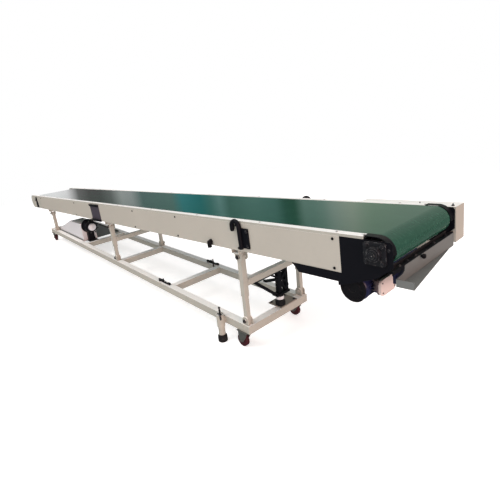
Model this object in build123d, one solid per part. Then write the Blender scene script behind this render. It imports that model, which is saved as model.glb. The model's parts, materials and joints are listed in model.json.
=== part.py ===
from build123d import *
import math
import os

# A mobile belt conveyor that stands on four casters, with two screw feet, in millimetres.
# X runs along the belt with the drive drum at +X, Y across with the near side at -Y, Z up from the floor.
# The bed is built level and then tipped up by bed_slope about the pins of its tail posts.

# Bed
deck_height = 742.0  # top of the belt above the floor while the bed is still level
bed_slope = 2.96
bed_length = 6200.0  # from the front end of the side covers back to the rounded tail
plate_length = 264.0  # head plates in front of the covers
frame_height = 200.0
frame_half_width = 336.0  # outer face of the side covers
rail_sheet = 3.0
cover_sheet = 1.5
cover_drop = 14.0  # strip of side rail left bare above a cover
flange_width = 44.0
foot_flange = 50.0
joint_gap = 1.0
seat = 0.3  # running clearance of a seated piece

# Belt and drums
belt_gap = 3.0  # between the belt's edge and a flange
belt_thickness = 3.0
drum_radius = 69.0
head_drum_ahead = 184.0  # head drum's axis in front of the covers
tail_reach = 350.0  # tail drum's axis to the rounded tail
tail_plate_length = 590.0
drum_shaft_radius = 15.0
deck_sheet = 2.0
return_roller_radius = 25.0
return_pin_radius = 8.0
return_count = 4
cross_size = 40.0
cross_wall = 2.5
cross_count = 8
cross_first = 300.0

# Head end
head_plate_sheet = 5.0
guard_arc_gap = 1.0  # round guard strip outside the belt at the drum's ends
guard_arc_sheet = 2.0
bearing_side = 108.0
bearing_hub_radius = 34.0
bearing_depth = 26.0
shaft_reach = 34.0  # drum shaft's end and gland outside the near cover
drive_cover_depth = 114.0
drive_cover_back = 315.0
drive_cover_drop = 12.0
motor_radius = 70.0
motor_ahead = 48.0
motor_drop = 277.0  # axis of the motor below the belt
motor_inset = 15.0
motor_length = 208.0
gearbox_length = 133.0
core_radius = 61.0
box_from = 60.0  # terminal box behind the motor's end
box_rise = 38.0
box_deep = 22.0
box_stand_off = 20.0
box_wide = 142.0
box_high = 80.0
skirt_length = 295.0
skirt_drop = 49.0
skirt_slope = 44.0
guard_lip = 70.0  # catch tray's near corner past the head plates
tray_drop = 226.0
tray_wall = 36.0
guard_sheet = 2.0
bar_size = 20.0

# Base frame
base_half_width = 313.0
base_tube = 60.0
base_wall = 3.0
base_front_station = 762.0
base_tail_station = 5480.0
base_underside = 142.0  # top of the casters
inner_beam_stations = (1830.0, 2935.0, 4020.0)

# Telescopic posts
front_post_station = 816.0
mid_post_station = 2983.0
tail_post_station = 5250.0
pivot_drop = 260.0  # post pins below the belt
outer_tube = 40.0
tube_wall = 3.0
outer_foot_share = 0.42  # lower end of an outer tube, as a share of the pin's height above the base
crossbeam_share = 0.66
inner_top_drop = 71.0
post_pin_radius = 11.0
shoe_pin_height = 32.0
pin_clearance = 1.6
pin_run = 9.0  # slots in the ears let the front and mid pins run forward as the bed rises
ear_sheet = 6.0
ear_gap = 1.6
bearer_width = 60.0
bearer_depth = 30.0
splice_behind = 230.0  # splice of the side rails behind the mid posts
splice_length = 262.0

# Lifting jack and its spreader under the front posts' crossbeam
crossbeam_size = 44.0
spreader_sheet = 30.0
jack_row = 52.0
jack_base_height = 36.0
jack_body_radius = 28.0
jack_body_height = 42.0
stage_radius = 20.0
ram_radius = 14.0
stage_show = 3.0
jack_gap = 6.0  # spreader above the closed jack

# Casters
wheel_radius = 50.0
wheel_width = 32.0
caster_offset = 33.0
fork_sheet = 4.0
fork_gap = 5.0
caster_plate = 6.0
caster_setback = 76.0  # swivel axis behind the front end of a base rail

# Screw feet
foot_setback = 280.0
foot_outset = 31.0
sleeve_radius = 30.0
sleeve_drop = 20.0  # below the base rails
sleeve_high = 100.0
foot_tube_radius = 25.0
pad_radius = 36.0
pad_height = 56.0

# Hooks, gland, lock pins and tail drive gear
hook_station = 716.0
hook_rod_radius = 14.0
hook_bend = 32.0
gland_station = 1050.0
gland_radius = 15.0
lock_station = 1940.0
tray_front_share = 0.669  # as a share of the bed's length
tray_back_share = 0.868
pump_radius = 92.0
pump_row = -150.0
pump_rise = 196.0
box_reach = 245.0

# Places that follow from the sizes above
slope = math.radians(bed_slope)
cover_front = bed_length / 2
tail_nose = cover_front - bed_length
head_x = cover_front + head_drum_ahead
tail_x = tail_nose + tail_reach
belt_inner = drum_radius + seat
belt_outer = belt_inner + belt_thickness
belt_width = 2 * (frame_half_width - flange_width - belt_gap)
deck_half_width = belt_width / 2 - 6
drum_z = deck_height - belt_outer
return_z = drum_z - belt_outer
frame_bottom = deck_height - frame_height
rail_face = frame_half_width - cover_sheet
web_inside = rail_face - rail_sheet
flange_edge = frame_half_width - flange_width
splice_station = mid_post_station + splice_behind
cross_last = bed_length - tail_plate_length - 60
pivot_z = deck_height - pivot_drop
base_top = base_underside + base_tube
rail_row = base_half_width - base_tube / 2
inner_tube = outer_tube - 2 * tube_wall - 2 * seat
head_front = cover_front + plate_length
motor_near = -frame_half_width + motor_inset
motor_x = cover_front + motor_ahead
motor_z = deck_height - motor_drop
gear_near = motor_near + motor_length
gear_far = gear_near + gearbox_length
hinge_x = cover_front - tail_post_station
ground_x = hinge_x + tail_post_station * math.cos(slope) - pivot_drop * math.sin(slope)
caster_row = rail_row
foot_row = base_half_width + foot_outset
caster_stations = (base_front_station + caster_setback, base_tail_station - caster_setback)
foot_station = base_front_station + foot_setback
flange_front = head_x - 0.78 * belt_outer


# Where a station on the level base lies, measured back from the front end of the tipped covers.
def on_base(station):
    return ground_x - station


# Where a post's pins lie once the bed is tipped.
def post_x(station):
    return hinge_x + (tail_post_station - station) * math.cos(slope)


def post_top(station):
    return pivot_z + (tail_post_station - station) * math.sin(slope)


def crossbeam_top(station):
    return base_top + crossbeam_share * (post_top(station) - base_top)


def tipped(shape):
    return Pos(hinge_x, 0, pivot_z) * Rot(0, -bed_slope, 0) * Pos(-hinge_x, 0, -pivot_z) * shape


def at(station):
    return cover_front - station


def block(x0, x1, y0, y1, z0, z1):
    centre = Pos((x0 + x1) / 2, (y0 + y1) / 2, (z0 + z1) / 2)
    return centre * Box(abs(x1 - x0), abs(y1 - y0), abs(z1 - z0))


def round_x(x0, x1, y, z, radius):
    return Pos((x0 + x1) / 2, y, z) * Rot(0, 90, 0) * Cylinder(radius, abs(x1 - x0))


def round_y(x, y0, y1, z, radius):
    return Pos(x, (y0 + y1) / 2, z) * Rot(90, 0, 0) * Cylinder(radius, abs(y1 - y0))


def round_z(x, y, z0, z1, radius):
    return Pos(x, y, (z0 + z1) / 2) * Cylinder(radius, abs(z1 - z0))


def plate_xz(points, y0, y1):
    outline = make_face(Polyline(*[(x, y0, z) for x, z in points], close=True))
    return extrude(outline, amount=y1 - y0, dir=(0, 1, 0))


def plate_yz(points, x0, x1):
    outline = make_face(Polyline(*[(x0, y, z) for y, z in points], close=True))
    return extrude(outline, amount=x1 - x0, dir=(1, 0, 0))


def plate_xy(points, z0, z1):
    outline = make_face(Polyline(*[(x, y, z0) for x, y in points], close=True))
    return extrude(outline, amount=z1 - z0, dir=(0, 0, 1))


def tube_x(x0, x1, y, z, size, wall):
    half = size / 2
    bore = half - wall
    outer = block(x0, x1, y - half, y + half, z - half, z + half)
    return outer - block(x0 - 1, x1 + 1, y - bore, y + bore, z - bore, z + bore)


def tube_y(y0, y1, x, z, size, wall):
    half = size / 2
    bore = half - wall
    outer = block(x - half, x + half, y0, y1, z - half, z + half)
    return outer - block(x - bore, x + bore, y0 - 1, y1 + 1, z - bore, z + bore)


def tube_z(z0, z1, x, y, size, wall):
    half = size / 2
    bore = half - wall
    outer = block(x - half, x + half, y - half, y + half, z0, z1)
    return outer - block(x - bore, x + bore, y - bore, y + bore, z0 - 1, z1 + 1)


def joined(pieces):
    return Part() + list(pieces)


def far_side(piece):
    return mirror(piece, about=Plane.XZ)


def both_sides(piece):
    return joined([piece, far_side(piece)])


# Side rails: open channels in two lengths, with the near and far top flange running on over the head plates.
def side_rails():
    lengths = (
        # front end, back end
        (cover_front, at(splice_station) + joint_gap / 2),
        (at(splice_station) - joint_gap / 2, tail_nose + tail_plate_length),
    )
    pieces = []
    for front, back in lengths:
        web = block(back, front, -rail_face, -web_inside, frame_bottom, deck_height)
        top = block(back, front, -rail_face, -flange_edge, deck_height - rail_sheet, deck_height)
        foot = block(back, front, -rail_face, -(rail_face - foot_flange), frame_bottom, frame_bottom + rail_sheet)
        pieces.append(web + top + foot)
    over_plate = block(cover_front, flange_front, -frame_half_width, -flange_edge, deck_height - rail_sheet, deck_height)
    lip = block(cover_front, flange_front, -rail_face, -web_inside, deck_height - cover_drop, deck_height)
    pieces[0] = pieces[0] + over_plate + lip
    return both_sides(joined(pieces))


def side_covers():
    top = deck_height - cover_drop
    low = frame_bottom + rail_sheet
    lengths = (
        # front end, back end
        (cover_front, at(splice_station) + joint_gap / 2),
        (at(splice_station) - joint_gap / 2, tail_nose + tail_plate_length),
    )
    pieces = [block(back, front, -frame_half_width, -rail_face, low, top) for front, back in lengths]
    return joined(pieces)


# Splice brackets: flat channels clasped over the joint of the two rail lengths, with a tab above and below.
def splice_brackets():
    front = at(splice_station - splice_length / 2)
    back = at(splice_station + splice_length / 2)
    out = frame_half_width + rail_sheet
    low = frame_bottom - rail_sheet
    face = block(back, front, -out, -frame_half_width, low, deck_height - cover_drop - 2)
    tab = block(back, front, -out, -(frame_half_width - 55), low, frame_bottom)
    rib = block(back, front, -(out + 9), -out, frame_bottom - 3, frame_bottom + 16)
    upper_rib = block(back, front, -(out + 9), -out, deck_height - cover_drop - 20, deck_height - cover_drop - 2)
    return both_sides(face + tab + rib + upper_rib)


# Slider deck under the belt's upper run, with bent edges.
def slider_deck():
    front = head_x - belt_outer
    back = tail_x + belt_outer
    top = drum_z + belt_inner - seat
    sheet = block(back, front, -deck_half_width, deck_half_width, top - deck_sheet, top)
    edges = []
    for side in (-1, 1):
        inner = side * (deck_half_width - deck_sheet)
        edges.append(block(back, front, inner, side * deck_half_width, top - 26, top))
    return joined([sheet] + edges)


def bed_cross_members():
    top = drum_z + belt_inner - seat - deck_sheet
    step = (cross_last - cross_first) / (cross_count - 1)
    tubes = []
    for number in range(cross_count):
        x = at(cross_first + number * step)
        tube = tube_y(-web_inside, web_inside, x, top - cross_size / 2, cross_size, cross_wall)
        for side in (-1, 1):
            edge = side * deck_half_width
            slot = block(x - cross_size, x + cross_size, edge - side * 3, edge + side, top - 26, top + 1)
            tube = tube - slot
        tubes.append(tube)
    return joined(tubes)


# Bearers: square tubes across under the rails, which carry the ears for the posts.
def leg_ears(station, bore, run):
    x = at(station)
    ears = []
    for inner in (rail_row - outer_tube / 2 - ear_gap - ear_sheet, rail_row + outer_tube / 2 + ear_gap):
        outer = inner + ear_sheet
        ear = block(x - 30, x + 30 + run, inner, outer, pivot_z, frame_bottom - bearer_depth)
        ear = ear + round_y(x, inner, outer, pivot_z, 30) + round_y(x + run, inner, outer, pivot_z, 30)
        ear = ear - round_y(x, inner - 1, outer + 1, pivot_z, bore)
        if run:
            ear = ear - round_y(x + run, inner - 1, outer + 1, pivot_z, bore)
            ear = ear - block(x, x + run, inner - 1, outer + 1, pivot_z - bore, pivot_z + bore)
        ears.append(ear)
    return ears


def post_brackets():
    open_bore = post_pin_radius + pin_clearance
    stations = (
        # station, bore radius, run of the slot
        (front_post_station, open_bore, pin_run),
        (mid_post_station, open_bore, pin_run),
        (tail_post_station, post_pin_radius + seat, 0),
    )
    pieces = []
    for station, bore, run in stations:
        x = at(station)
        back = x - bearer_width / 2
        front = x + bearer_width / 2 + run
        bearer = block(back, front, -web_inside, web_inside, frame_bottom - bearer_depth, frame_bottom)
        hollow = block(
            back + rail_sheet,
            front - rail_sheet,
            -frame_half_width - 1,
            frame_half_width + 1,
            frame_bottom - bearer_depth + rail_sheet,
            frame_bottom - rail_sheet,
        )
        ears = leg_ears(station, bore, run)
        pieces.append(joined([bearer - hollow] + ears + [far_side(ear) for ear in ears]))
    return joined(pieces)


# Belt: one closed loop round both drums.
def loop_outline(radius, y0, y1):
    straight = block(tail_x, head_x, y0, y1, drum_z - radius, drum_z + radius)
    return straight + round_y(head_x, y0, y1, drum_z, radius) + round_y(tail_x, y0, y1, drum_z, radius)


def belt_loop():
    half = belt_width / 2
    return loop_outline(belt_outer, -half, half) - loop_outline(belt_inner, -half - 1, half + 1)


def drum(x, near_end, far_end):
    half = belt_width / 2
    shell = round_y(x, -half, half, drum_z, drum_radius)
    return shell + round_y(x, near_end, far_end, drum_z, drum_shaft_radius)


def return_rollers():
    z = return_z - return_roller_radius - seat
    rollers = []
    for number in range(return_count):
        x = at(bed_length * (number + 0.75) / (return_count + 0.6))
        body = round_y(x, -belt_width / 2, belt_width / 2, z, return_roller_radius)
        rollers.append(body + round_y(x, -web_inside, web_inside, z, return_pin_radius))
    return joined(rollers)


# Head plates: the near one bare, the far one behind the drive cover. Each has a round strip over the drum's end.
def head_plate():
    top = deck_height - cover_drop - seat
    outline = (
        (cover_front, top),
        (head_front - 10, top),
        (head_front, top - 10),
        (head_front, deck_height - 130),
        (head_front - 78, deck_height - 192),
        (head_front - 164, deck_height - 226),
        (cover_front - 14, deck_height - 268),
        (cover_front - 22, deck_height - 268),
        (cover_front - 22, frame_bottom - seat),
        (cover_front, frame_bottom - seat),
    )
    outer = -frame_half_width
    inner = outer + head_plate_sheet
    plate = plate_xz(outline, outer, inner)
    plate = plate - round_y(head_x, outer - 1, inner + 1, drum_z, drum_shaft_radius + 2)
    strip_radius = belt_outer + guard_arc_gap
    strip_outer = strip_radius + guard_arc_sheet
    ring = round_y(head_x, inner - 1, -flange_edge, drum_z, strip_outer)
    ring = ring - round_y(head_x, inner - 2, -flange_edge + 1, drum_z, strip_radius)
    front_half = block(head_x, head_x + strip_outer + 1, inner - 2, -flange_edge + 1, drum_z - 10, drum_z + strip_outer + 1)
    flat = block(flange_front + joint_gap, head_x, inner - 1, -flange_edge, drum_z + strip_radius, drum_z + strip_outer)
    return plate + ((ring & front_half) + flat)


# Drive cover: a deep cream box outside the far rail, with a rounded tongue down to the gearbox shaft.
def drive_cover():
    low_radius = 66.0
    inner = frame_half_width + seat
    outer = inner + drive_cover_depth
    back = cover_front - drive_cover_back
    upper = block(back, head_front + 5, inner, outer, frame_bottom - 8, deck_height - drive_cover_drop)
    tongue = (
        (motor_x - low_radius, motor_z),
        (motor_x + low_radius, motor_z),
        (motor_x + low_radius, frame_bottom),
        (motor_x - low_radius, frame_bottom),
    )
    shell = upper + plate_xz(tongue, inner, outer - 30) + round_y(motor_x, inner, outer - 30, motor_z, low_radius)
    return shell


def head_bearings():
    half = bearing_side / 2
    near = -frame_half_width
    flange = block(head_x - half, head_x + half, near - 9, near, drum_z - half, drum_z + half)
    flange = fillet(flange.edges().filter_by(Axis.Y), 16)
    hub = round_y(head_x, near - bearing_depth, near, drum_z, bearing_hub_radius)
    piece = flange + hub
    piece = piece - round_y(head_x, near - bearing_depth - 1, near + 1, drum_z, drum_shaft_radius + seat)
    return piece


def motor_body():
    far = gear_near
    bell = round_y(motor_x, motor_near, motor_near + 44, motor_z, motor_radius)
    bell = fillet(bell.edges().filter_by(GeomType.CIRCLE).sort_by(Axis.Y)[0], 28)
    core = round_y(motor_x, motor_near + 44, far, motor_z, core_radius)
    fins = []
    fin_count = 24
    for number in range(fin_count):
        turn = 360 * number / fin_count
        fin = block(motor_radius - 12, motor_radius - 1, motor_near + 43, far - 12, -1.5, 1.5)
        fins.append(Pos(motor_x, 0, motor_z) * Rot(0, turn, 0) * fin)
    ribs = joined(fins) - terminal_neck(seat)
    return joined([bell, core, ribs])


def gearbox():
    x0 = cover_front - 22
    x1 = motor_x + 78
    case = block(x0, x1, gear_near, gear_far, motor_z - 66, frame_bottom - rail_sheet)
    case = fillet(case.edges().filter_by(Axis.Y), 18)
    flange = round_y(motor_x, gear_far, gear_far + 12, motor_z, 58)
    shaft = round_y(motor_x, gear_far, frame_half_width, motor_z, 14)
    return case + flange + shaft


# Terminal box on the motor's +X side, on a neck that runs down to the motor's core.
def terminal_neck(grow):
    return block(
        motor_x + 40,
        motor_x + motor_radius + box_stand_off + 1,
        motor_near + box_from + 22 - grow,
        motor_near + box_from + box_wide - 22 + grow,
        motor_z + box_rise - box_high + 12 - grow,
        motor_z + box_rise - 12 + grow,
    )


def terminal_box():
    x0 = motor_x + motor_radius + box_stand_off
    y0 = motor_near + box_from
    top = motor_z + box_rise
    box = block(x0, x0 + box_deep, y0, y0 + box_wide, top - box_high, top)
    box = fillet(box.edges().filter_by(Axis.X), 22)
    neck = terminal_neck(0) - round_y(motor_x, y0 - 1, y0 + box_wide + 1, motor_z, core_radius + seat)
    return box + neck


# Skirt: a pan under the rails behind the motor, with slanted back ends.
def motor_skirt():
    front = cover_front - 22 - seat
    back = front - skirt_length
    top = frame_bottom
    low = top - skirt_drop
    side = ((front, top), (front, low), (back + skirt_slope, low), (back, top))
    near = plate_xz(side, -frame_half_width, -frame_half_width + rail_sheet)
    top_sheet = block(back, front, -frame_half_width, frame_half_width, top - rail_sheet, top)
    front_sheet = block(front - rail_sheet, front, -frame_half_width, frame_half_width, low, top)
    return joined([near, far_side(near), top_sheet, front_sheet])


# Guard under the head drum: an upright sheet between the head plates and a catch tray with a skewed lip.
def head_guard():
    inside = frame_half_width - head_plate_sheet
    top = drum_z - belt_outer - 8
    floor = deck_height - tray_drop
    front = head_front - 4
    far_end = inside - 40
    upright = plate_yz(
        (
            # y, z of the sheet's outline, with a hollow near end in front of the gearbox
            (-inside + 26, floor),
            (inside, floor),
            (inside, top),
            (-inside + 108, top),
            (-inside + 105, floor + 50),
            (-inside + 84, floor + tray_wall + 3),
            (-inside + 26, floor + tray_wall),
        ),
        front - guard_sheet,
        front,
    )
    lip = plate_xy(
        ((front - guard_sheet, -inside + 26), (front + guard_lip + 8, -inside + 26), (front - guard_sheet, far_end)),
        floor,
        floor + guard_sheet,
    )
    wall = block(front - guard_sheet, front + guard_lip + 8, -inside + 26, -inside + 26 + guard_sheet, floor, floor + tray_wall)
    return joined([upright, lip, wall])


def head_bar():
    inside = frame_half_width - head_plate_sheet
    top = drum_z - belt_outer - 2
    x1 = head_front - 4 - guard_sheet
    return block(x1 - bar_size, x1, -inside, inside, top - bar_size, top) - block(
        x1 - bar_size + 4, x1 - 4, -inside - 1, inside + 1, top - bar_size - 1, top - 4
    )


# Tail plates with a rounded end, and the take-up plates that hold the tail shaft.
def tail_plate():
    back = tail_nose
    front = tail_nose + tail_plate_length
    mid = deck_height - frame_height / 2
    outer = -frame_half_width
    inner = outer + head_plate_sheet
    flat = block(back + 100, front - seat, outer, inner, frame_bottom, deck_height)
    nose = round_y(back + 100, outer, inner, mid, frame_height / 2)
    strip = round_y(back + 100, inner, -flange_edge, mid, frame_height / 2)
    strip = strip - round_y(back + 100, inner - 1, -flange_edge + 1, mid, frame_height / 2 - rail_sheet)
    strip = strip - block(back + 100, front, inner - 1, 0, frame_bottom - 1, deck_height + 1)
    flange = block(back + 100, front - seat, inner, -flange_edge, deck_height - rail_sheet, deck_height)
    piece = joined([flat, nose, strip, flange])
    return piece - round_y(tail_x, outer - 1, inner + 1, drum_z, drum_shaft_radius + 8)


def take_up():
    outer = -frame_half_width
    low = frame_bottom + 8
    top = deck_height - 24
    outline = ((tail_x - 56, low), (tail_x + 56, low), (tail_x + 24, top), (tail_x - 24, top))
    slab = plate_xz(outline, outer - 8, outer) + round_y(tail_x, outer - 13, outer, drum_z, 30)
    return slab - round_y(tail_x, outer - 19, outer + 1, drum_z, drum_shaft_radius + seat)


# Hooks: a plate on the cover with a swan-necked rod that arcs back over its top.
def hook():
    x = at(hook_station)
    outer = -frame_half_width
    rod_y = outer - hook_rod_radius - 1
    top = deck_height + 15 - hook_rod_radius - hook_bend
    foot = deck_height - 178
    stem = round_z(x, rod_y, foot, top, hook_rod_radius)
    arc = Pos(x - hook_bend, rod_y, top) * Rot(90, 0, 0) * Torus(hook_bend, hook_rod_radius)
    arc = arc & block(x - 3 * hook_bend, x + 2 * hook_bend, rod_y - 40, rod_y + 40, top, top + 90)
    tip = round_z(x - 2 * hook_bend, rod_y, deck_height - 54, top, hook_rod_radius)
    tip = tip + Pos(x - 2 * hook_bend, rod_y, deck_height - 54) * Sphere(hook_rod_radius)
    plate = block(x - 24, x + 70, outer - 8, outer, deck_height - 172, deck_height - 44)
    plate = fillet(plate.edges().filter_by(Axis.Y), 6)
    return joined([stem, arc, tip, plate])


def cable_gland():
    x = at(gland_station)
    z = frame_bottom + 26
    outer = -frame_half_width
    bend_y = outer - seat - shaft_reach + gland_radius
    nut = Pos(x, outer - 4, z) * Rot(90, 0, 0) * extrude(RegularPolygon(20, 6), amount=4, both=True)
    elbow = round_y(x, bend_y, outer - 8, z, gland_radius) + Pos(x, bend_y, z) * Sphere(gland_radius)
    mouth = round_z(x, bend_y, z - 36, z, gland_radius) - round_z(x, bend_y, z - 37, z - 22, gland_radius - 5)
    return joined([nut, elbow, mouth])


# Base frame: two long square tubes between a front and a tail beam with closed ends, and three beams inside.
def base_rail():
    back = on_base(base_tail_station - base_tube)
    front = on_base(base_front_station + base_tube)
    return tube_x(back, front, -rail_row, base_underside + base_tube / 2, base_tube, base_wall)


def base_beams():
    reach = base_half_width - base_tube
    mid = base_underside + base_tube / 2
    half = base_tube / 2
    bore = half - base_wall
    beams = [tube_y(-reach, reach, on_base(station), mid, base_tube, base_wall) for station in inner_beam_stations]
    for station in (base_front_station + half, base_tail_station - half):
        x = on_base(station)
        end_reach = base_half_width - base_wall
        solid = block(x - half, x + half, -base_half_width, base_half_width, base_underside, base_top)
        beams.append(solid - block(x - bore, x + bore, -end_reach, end_reach, mid - bore, mid + bore))
    return joined(beams)


# Lower posts: inner tubes in shoes on the base rails.
def shoe(station, tube):
    x = post_x(station)
    half = tube / 2
    cheeks = []
    for side in (-1, 1):
        inner = -rail_row + side * half
        outer = inner + side * ear_sheet
        cheek = block(x - 30, x + 30, min(inner, outer), max(inner, outer), base_top, base_top + shoe_pin_height)
        cheek = cheek + round_y(x, min(inner, outer), max(inner, outer), base_top + shoe_pin_height, 30)
        cheek = cheek & block(x - 40, x + 40, -base_half_width, 0, base_top, base_top + 3 * shoe_pin_height)
        cheeks.append(cheek)
    span = half + ear_sheet + 8
    pin = round_y(x, -rail_row - span, -rail_row + span, base_top + shoe_pin_height, post_pin_radius)
    return cheeks, pin


def lower_posts(station):
    cheeks, pin = shoe(station, inner_tube)
    top = post_top(station) - inner_top_drop
    post = tube_z(base_top, top, post_x(station), -rail_row, inner_tube, tube_wall)
    return both_sides(joined([post] + cheeks + [pin]))


def tail_posts():
    x = hinge_x
    cheeks, pin = shoe(tail_post_station, outer_tube)
    half = outer_tube / 2
    bore = half - tube_wall
    post = block(x - half, x + half, -rail_row - half, -rail_row + half, base_top, pivot_z)
    post = post - block(x - bore, x + bore, -rail_row - bore, -rail_row + bore, base_top - 1, pivot_z - 40)
    head = round_y(x, -rail_row - half, -rail_row + half, pivot_z, half)
    span = half + ear_gap + ear_sheet + 6
    head_pin = round_y(x, -rail_row - span, -rail_row + span, pivot_z, post_pin_radius)
    return both_sides(joined([post, head, head_pin, pin] + cheeks))


# Upper posts: outer tubes that slide on the lower ones, with a pin through each head.
def upper_posts(station):
    x = post_x(station)
    head_z = post_top(station)
    low = base_top + outer_foot_share * (head_z - base_top)
    half = outer_tube / 2
    tube = tube_z(low, head_z - 36, x, -rail_row, outer_tube, tube_wall)
    cap = block(x - half, x + half, -rail_row - half, -rail_row + half, head_z - 36, head_z)
    head = round_y(x, -rail_row - half, -rail_row + half, head_z, half)
    span = half + ear_gap + ear_sheet + 6
    pin = round_y(x, -rail_row - span, -rail_row + span, head_z, post_pin_radius)
    return both_sides(joined([tube, cap, head, pin]))


def post_beam(station):
    reach = rail_row - outer_tube / 2
    mid = crossbeam_top(station) - crossbeam_size / 2
    return tube_y(-reach, reach, post_x(station), mid, crossbeam_size, base_wall)


# Spreader: a black lattice that hangs from the front crossbeam and stands on the jack.
def bar_yz(start, end, width, x0, x1):
    (ya, za), (yb, zb) = start, end
    length = math.hypot(yb - ya, zb - za)
    ny = -(zb - za) / length * width / 2
    nz = (yb - ya) / length * width / 2
    corners = ((ya + ny, za + nz), (yb + ny, zb + nz), (yb - ny, zb - nz), (ya - ny, za - nz))
    return plate_yz(corners, x0, x1)


jack_top = base_top + 8 + jack_base_height + jack_body_height


def spreader():
    x = post_x(front_post_station)
    x0 = x - spreader_sheet / 2
    x1 = x + spreader_sheet / 2
    under = crossbeam_top(front_post_station) - crossbeam_size
    low = jack_top + stage_show + jack_gap
    drop = under - low
    bars = (
        # start (y, z), end (y, z), width
        ((-190, under - 9), (10, low + 12), 20),
        ((jack_row - 4, under), (jack_row - 4, low), 36),
        ((124, under), (124, low), 24),
        ((-90, under - 0.2 * drop), (jack_row, under - 0.38 * drop), 14),
        ((-50, under), (120, under - 0.56 * drop), 14),
        ((124, under - 0.1 * drop), (jack_row, under - 0.47 * drop), 14),
        ((jack_row, under - 0.42 * drop), (120, low + 14), 14),
    )
    head = block(x0, x1, -200, 136, under - 14, under)
    foot = block(x - 28, x + 28, 2, 136, low, low + 16)
    lattice = joined([head, foot] + [bar_yz(start, end, width, x0, x1) for start, end, width in bars])
    return lattice & block(x - 60, x + 60, -300, 300, low, under)


def jack_ram():
    low = jack_top + stage_show + jack_gap
    return round_z(post_x(front_post_station), jack_row, base_top + 18, low, ram_radius)


def jack_stage():
    x = post_x(front_post_station)
    top = jack_top + stage_show
    return round_z(x, jack_row, base_top + 14, top, stage_radius) - round_z(
        x, jack_row, base_top, top + 1, ram_radius + seat
    )


def jack_plate():
    x = post_x(front_post_station)
    return block(x - 95, on_base(base_front_station), jack_row - 34, 200, base_top, base_top + 8)


def jack_body():
    x = post_x(front_post_station)
    low = base_top + 8
    foot = block(x - 30, x + 30, jack_row - 30, jack_row + 30, low, low + jack_base_height)
    foot = fillet(foot.edges().filter_by(Axis.Z), 12)
    can = round_z(x, jack_row, low + jack_base_height, jack_top, jack_body_radius)
    return (foot + can) - round_z(x, jack_row, base_top + 12, low + 300, stage_radius + seat)


# Casters: a plate on the base, a fork that swivels and a wheel in it.
def caster_spots():
    spots = {}
    for end, station in zip(("front", "tail"), caster_stations):
        for side, row in (("near", -caster_row), ("far", caster_row)):
            spots[f"{end}_{side}"] = (on_base(station), row)
    return spots


def caster_plates():
    plates = []
    for x, y in caster_spots().values():
        plates.append(block(x - 52, x + 52, y - 42, y + 42, base_underside - caster_plate, base_underside))
    return joined(plates)


def caster_fork(x, y):
    top = base_underside - caster_plate - seat
    crown = top - 14
    axle_x = x - caster_offset
    gap = wheel_width / 2 + fork_gap
    race = round_z(x, y, crown, top, 30)
    bridge = block(axle_x - 26, x + 30, y - gap - fork_sheet, y + gap + fork_sheet, crown - fork_sheet, crown)
    parts = [race, bridge]
    for side in (-1, 1):
        inner = y + side * gap
        outer = inner + side * fork_sheet
        low = min(inner, outer)
        high = max(inner, outer)
        outline = (
            (x + 30, crown),
            (x + 24, crown - 22),
            (axle_x + 16, wheel_radius - 10),
            (axle_x - 16, wheel_radius - 10),
            (axle_x - 26, crown - 22),
            (axle_x - 26, crown),
        )
        parts.append(plate_xz(outline, low, high))
        parts.append(round_y(axle_x, low, high, wheel_radius, 16))
    axle = round_y(axle_x, y - gap - fork_sheet - 5, y + gap + fork_sheet + 5, wheel_radius, 6)
    return joined(parts + [axle])


def caster_wheel(x, y):
    axle_x = x - caster_offset
    half = wheel_width / 2
    tyre = round_y(axle_x, y - half, y + half, wheel_radius, wheel_radius)
    tyre = fillet(tyre.edges().filter_by(GeomType.CIRCLE), 5)
    hub = round_y(axle_x, y - half - 4, y + half + 4, wheel_radius, 15)
    wheel = tyre + hub
    for side in (-1, 1):
        face = y + side * half
        dish = round_y(axle_x, face - side * 6, face + side, wheel_radius, 34)
        dish = dish - round_y(axle_x, face - side * 8, face + side * 5, wheel_radius, 18)
        wheel = wheel - dish
    return wheel - round_y(axle_x, y - 40, y + 40, wheel_radius, 6 + seat)


# Screw feet: sleeves outside the rails near the front and round feet that slide up in them.
def foot_spots():
    x = on_base(foot_station)
    return {"front_near": (x, -foot_row), "front_far": (x, foot_row)}


def foot_sleeves():
    sleeves = []
    for x, y in foot_spots().values():
        side = 1 if y > 0 else -1
        low = base_underside - sleeve_drop
        tube = round_z(x, y, low, low + sleeve_high, sleeve_radius)
        web = block(x - 24, x + 24, side * base_half_width, y, base_underside + 4, base_top - 4)
        bore = round_z(x, y, low - 1, low + sleeve_high + 1, foot_tube_radius + seat)
        sleeves.append((tube + web) - bore)
    return joined(sleeves)


def screw_foot(x, y):
    pad = round_z(x, y, 0, pad_height, pad_radius)
    pad = fillet(pad.edges().filter_by(GeomType.CIRCLE), 6)
    return pad, round_z(x, y, pad_height, base_top + 10, foot_tube_radius)


def lock_pins():
    x = on_base(lock_station)
    lug = block(x - 100, x + 90, -rail_row - 8, -rail_row + 8, base_top, base_top + 20)
    cut = block(x - 20, x + 60, -rail_row - 9, -rail_row + 9, base_top + 9, base_top + 21)
    pin = round_y(x - 60, -rail_row - 24, -rail_row + 24, base_top + 13, 7)
    return both_sides((lug - cut) + pin)


# Tail drive gear on the base: a tray, a control box and a small pump motor.
def tail_tray():
    front = on_base(tray_front_share * bed_length)
    back = on_base(tray_back_share * bed_length)
    reach = base_half_width - base_tube
    floor = block(back, front, -reach, reach, base_top - 3, base_top)
    lips = [block(back, front, side * reach, side * (reach - 3), base_top, base_top + 18) for side in (-1, 1)]
    return joined([floor] + lips)


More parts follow.
